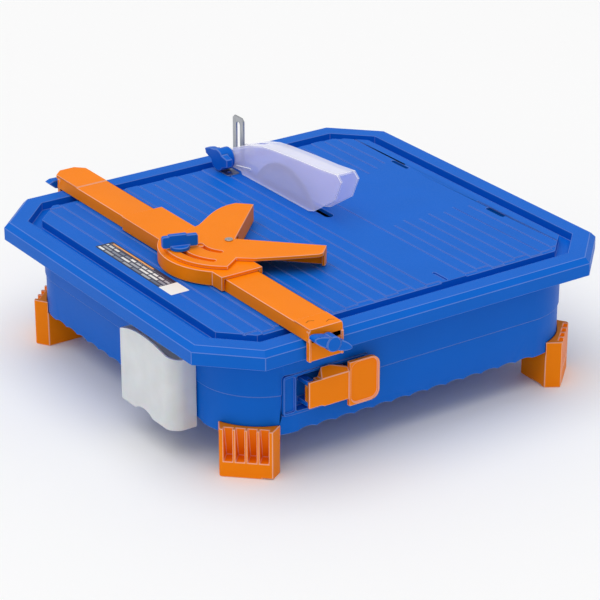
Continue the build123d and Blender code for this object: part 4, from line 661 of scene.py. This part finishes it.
class SAW_OT_mitre_guide(bpy.types.Operator):
    """Finishes the mitre guide's carriage, head, knob and screws"""
    bl_idname = "saw.mitre_guide"
    bl_label = "Mitre Guide"

    def execute(self, context):
        rounded_copy("mitre_carriage", sizes().trim_edge)
        rounded_copy("mitre_head", sizes().trim_edge)
        rounded_copy("mitre_knob", 1.6 * sizes().trim_edge, segments=3)
        rounded_copy("mitre_pivot_screw", sizes().fine_edge)
        carried("mitre_stud")
        return {"FINISHED"}


class SAW_OT_switch(bpy.types.Operator):
    """Finishes the switch housing, its flap, pin and rocker"""
    bl_idname = "saw.switch"
    bl_label = "Switch"

    def execute(self, context):
        rounded_copy("switch_housing", sizes().trim_edge, flat=True)
        rounded_copy("switch_paddle", 1.4 * sizes().trim_edge, segments=3)
        rounded_copy("switch_rocker", sizes().fine_edge)
        for node in ("switch_body", "paddle_pin"):
            carried(node)
        return {"FINISHED"}


class SAW_OT_guard(bpy.types.Operator):
    """Finishes the clear guard, its bolt and its wing knob"""
    bl_idname = "saw.guard"
    bl_label = "Blade Guard"

    def execute(self, context):
        rounded_copy("guard", 1.5 * sizes().fine_edge, flat=True)
        rounded_copy("guard_bolt", sizes().fine_edge)
        rounded_copy("guard_knob", 2 * sizes().trim_edge, segments=3)
        return {"FINISHED"}


class SAW_OT_knife(bpy.types.Operator):
    """Finishes the riving knife and its fixings"""
    bl_idname = "saw.knife"
    bl_label = "Riving Knife"

    def execute(self, context):
        rounded_copy("riving_knife", sizes().fine_edge)
        rounded_copy("knife_clip", sizes().fine_edge)
        for node in ("knife_bracket", "knife_screws"):
            carried(node)
        return {"FINISHED"}


class SAW_OT_blade(bpy.types.Operator):
    """Finishes the blade, its flanges, nut and arbor"""
    bl_idname = "saw.blade"
    bl_label = "Blade and Arbor"

    def execute(self, context):
        rounded_copy("blade", 0.5 * sizes().fine_edge)
        for node in ("inner_flange", "outer_flange", "arbor_nut"):
            rounded_copy(node, sizes().fine_edge)
        carried("arbor_shaft")
        return {"FINISHED"}


class SAW_OT_chute(bpy.types.Operator):
    """Finishes the water chute on the left wall"""
    bl_idname = "saw.chute"
    bl_label = "Water Chute"

    def execute(self, context):
        rounded_copy("water_chute", 2 * sizes().fine_edge, segments=3)
        return {"FINISHED"}


class SAW_OT_drive(bpy.types.Operator):
    """Gives the motor, belt drive, bearings and screws their finishes"""
    bl_idname = "saw.drive"
    bl_label = "Motor and Drive"

    def execute(self, context):
        shown = {piece.get("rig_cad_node") for piece in bpy.data.objects}
        finished = {n for piece in bpy.data.objects for n in piece.get("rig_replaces", [])}
        for node in frame["nodes"]:
            if node in shown and node not in finished and not frame["nodes"][node].get("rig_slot"):
                carried(node)
        return {"FINISHED"}


class SAW_OT_stage(bpy.types.Operator):
    """Adds the plain floor, the studio light and the camera"""
    bl_idname = "saw.stage"
    bl_label = "Studio"

    def execute(self, context):
        clear_selection()
        bpy.ops.mesh.primitive_plane_add(size=sizes().floor_side, location=(0, 0, 0))
        floor = context.object
        floor.name = "studio_floor"
        base = colours().floor
        paint, shader = principled("pale_matt_floor", base, 0.8)
        clouds = noise(paint, object_coordinates(paint), 900.0)
        feed(paint, blended(paint, clouds, base, shaded(base, 0.985)), shader.inputs["Base Color"])
        floor.data.materials.append(paint)
        self.add_lights(context)
        self.add_camera(context)
        return {"FINISHED"}

    def add_lights(self, context):
        """A wide overhead softbox, a weak front fill, and an even pale surround."""
        surround = bpy.data.worlds.new("pale_surround")
        surround.use_nodes = True
        background = surround.node_tree.nodes["Background"]
        background.inputs["Color"].default_value = (1.0, 1.0, 1.0, 1.0)
        background.inputs["Strength"].default_value = 0.55
        context.scene.world = surround
        context.scene.view_settings.view_transform = "Standard"
        # its wide angle gives the soft shadows of a large panel, and it lights the floor evenly
        softbox = bpy.data.lights.new("overhead_softbox", "SUN")
        softbox.energy = 1.5
        softbox.angle = radians(70)
        fill = bpy.data.lights.new("front_fill", "AREA")
        fill.shape = "SQUARE"
        fill.size = 1.6
        fill.energy = 2.5
        for light, place in ((softbox, (-0.5, -0.1, 2.6)), (fill, (-2.0, -2.2, 1.2))):
            lamp = bpy.data.objects.new(light.name, light)
            lamp.location = place
            lamp.rotation_euler = (-Vector(place)).to_track_quat("-Z", "Y").to_euler()
            context.scene.collection.objects.link(lamp)

    def add_camera(self, context):
        """Long lens from the front left, a little above."""
        azimuth, elevation, distance = radians(-34.38), radians(24.24), 2.355
        target = Vector((-0.00283, -0.00647, 0.060))
        away = Vector((sin(azimuth) * cos(elevation), -cos(azimuth) * cos(elevation), sin(elevation)))
        camera = bpy.data.cameras.new("camera")
        camera.lens = 150.65
        camera.sensor_width = 36.0
        holder = bpy.data.objects.new("camera", camera)
        holder.location = target + away * distance
        holder.rotation_euler = (-away).to_track_quat("-Z", "Y").to_euler()
        context.scene.collection.objects.link(holder)
        context.scene.camera = holder


STEPS = (
    SAW_OT_body, SAW_OT_feet, SAW_OT_fence, SAW_OT_mitre_guide, SAW_OT_switch, SAW_OT_guard, SAW_OT_knife,
    SAW_OT_blade, SAW_OT_chute, SAW_OT_drive, SAW_OT_stage,
)


class SAW_PT_panel(bpy.types.Panel):
    """Lists the saw's pieces and their sizes and colours."""
    bl_idname = "SAW_PT_panel"
    bl_label = "Tile Saw"
    bl_space_type = "VIEW_3D"
    bl_region_type = "UI"
    bl_category = "Tile Saw"

    def draw(self, context):
        for step in STEPS:
            self.layout.operator(step.bl_idname)
        for group in (context.scene.saw_sizes, context.scene.saw_colours):
            box = self.layout.box()
            for key in group.bl_rna.properties.keys():
                if key not in ("rna_type", "name"):
                    box.prop(group, key)


CLASSES = (SawColours, SawSizes) + STEPS + (SAW_PT_panel,)


def register():
    for cls in CLASSES:
        bpy.utils.register_class(cls)
    bpy.types.Scene.saw_colours = bpy.props.PointerProperty(type=SawColours)
    bpy.types.Scene.saw_sizes = bpy.props.PointerProperty(type=SawSizes)


def unregister():
    del bpy.types.Scene.saw_sizes
    del bpy.types.Scene.saw_colours
    for cls in reversed(CLASSES):
        bpy.utils.unregister_class(cls)


def main():
    register()
    bpy.ops.saw.body()
    bpy.ops.saw.feet()
    bpy.ops.saw.fence()
    bpy.ops.saw.mitre_guide()
    bpy.ops.saw.switch()
    bpy.ops.saw.guard()
    bpy.ops.saw.knife()
    bpy.ops.saw.blade()
    bpy.ops.saw.chute()
    bpy.ops.saw.drive()
    bpy.ops.saw.stage()


if __name__ == "__main__":
    main()
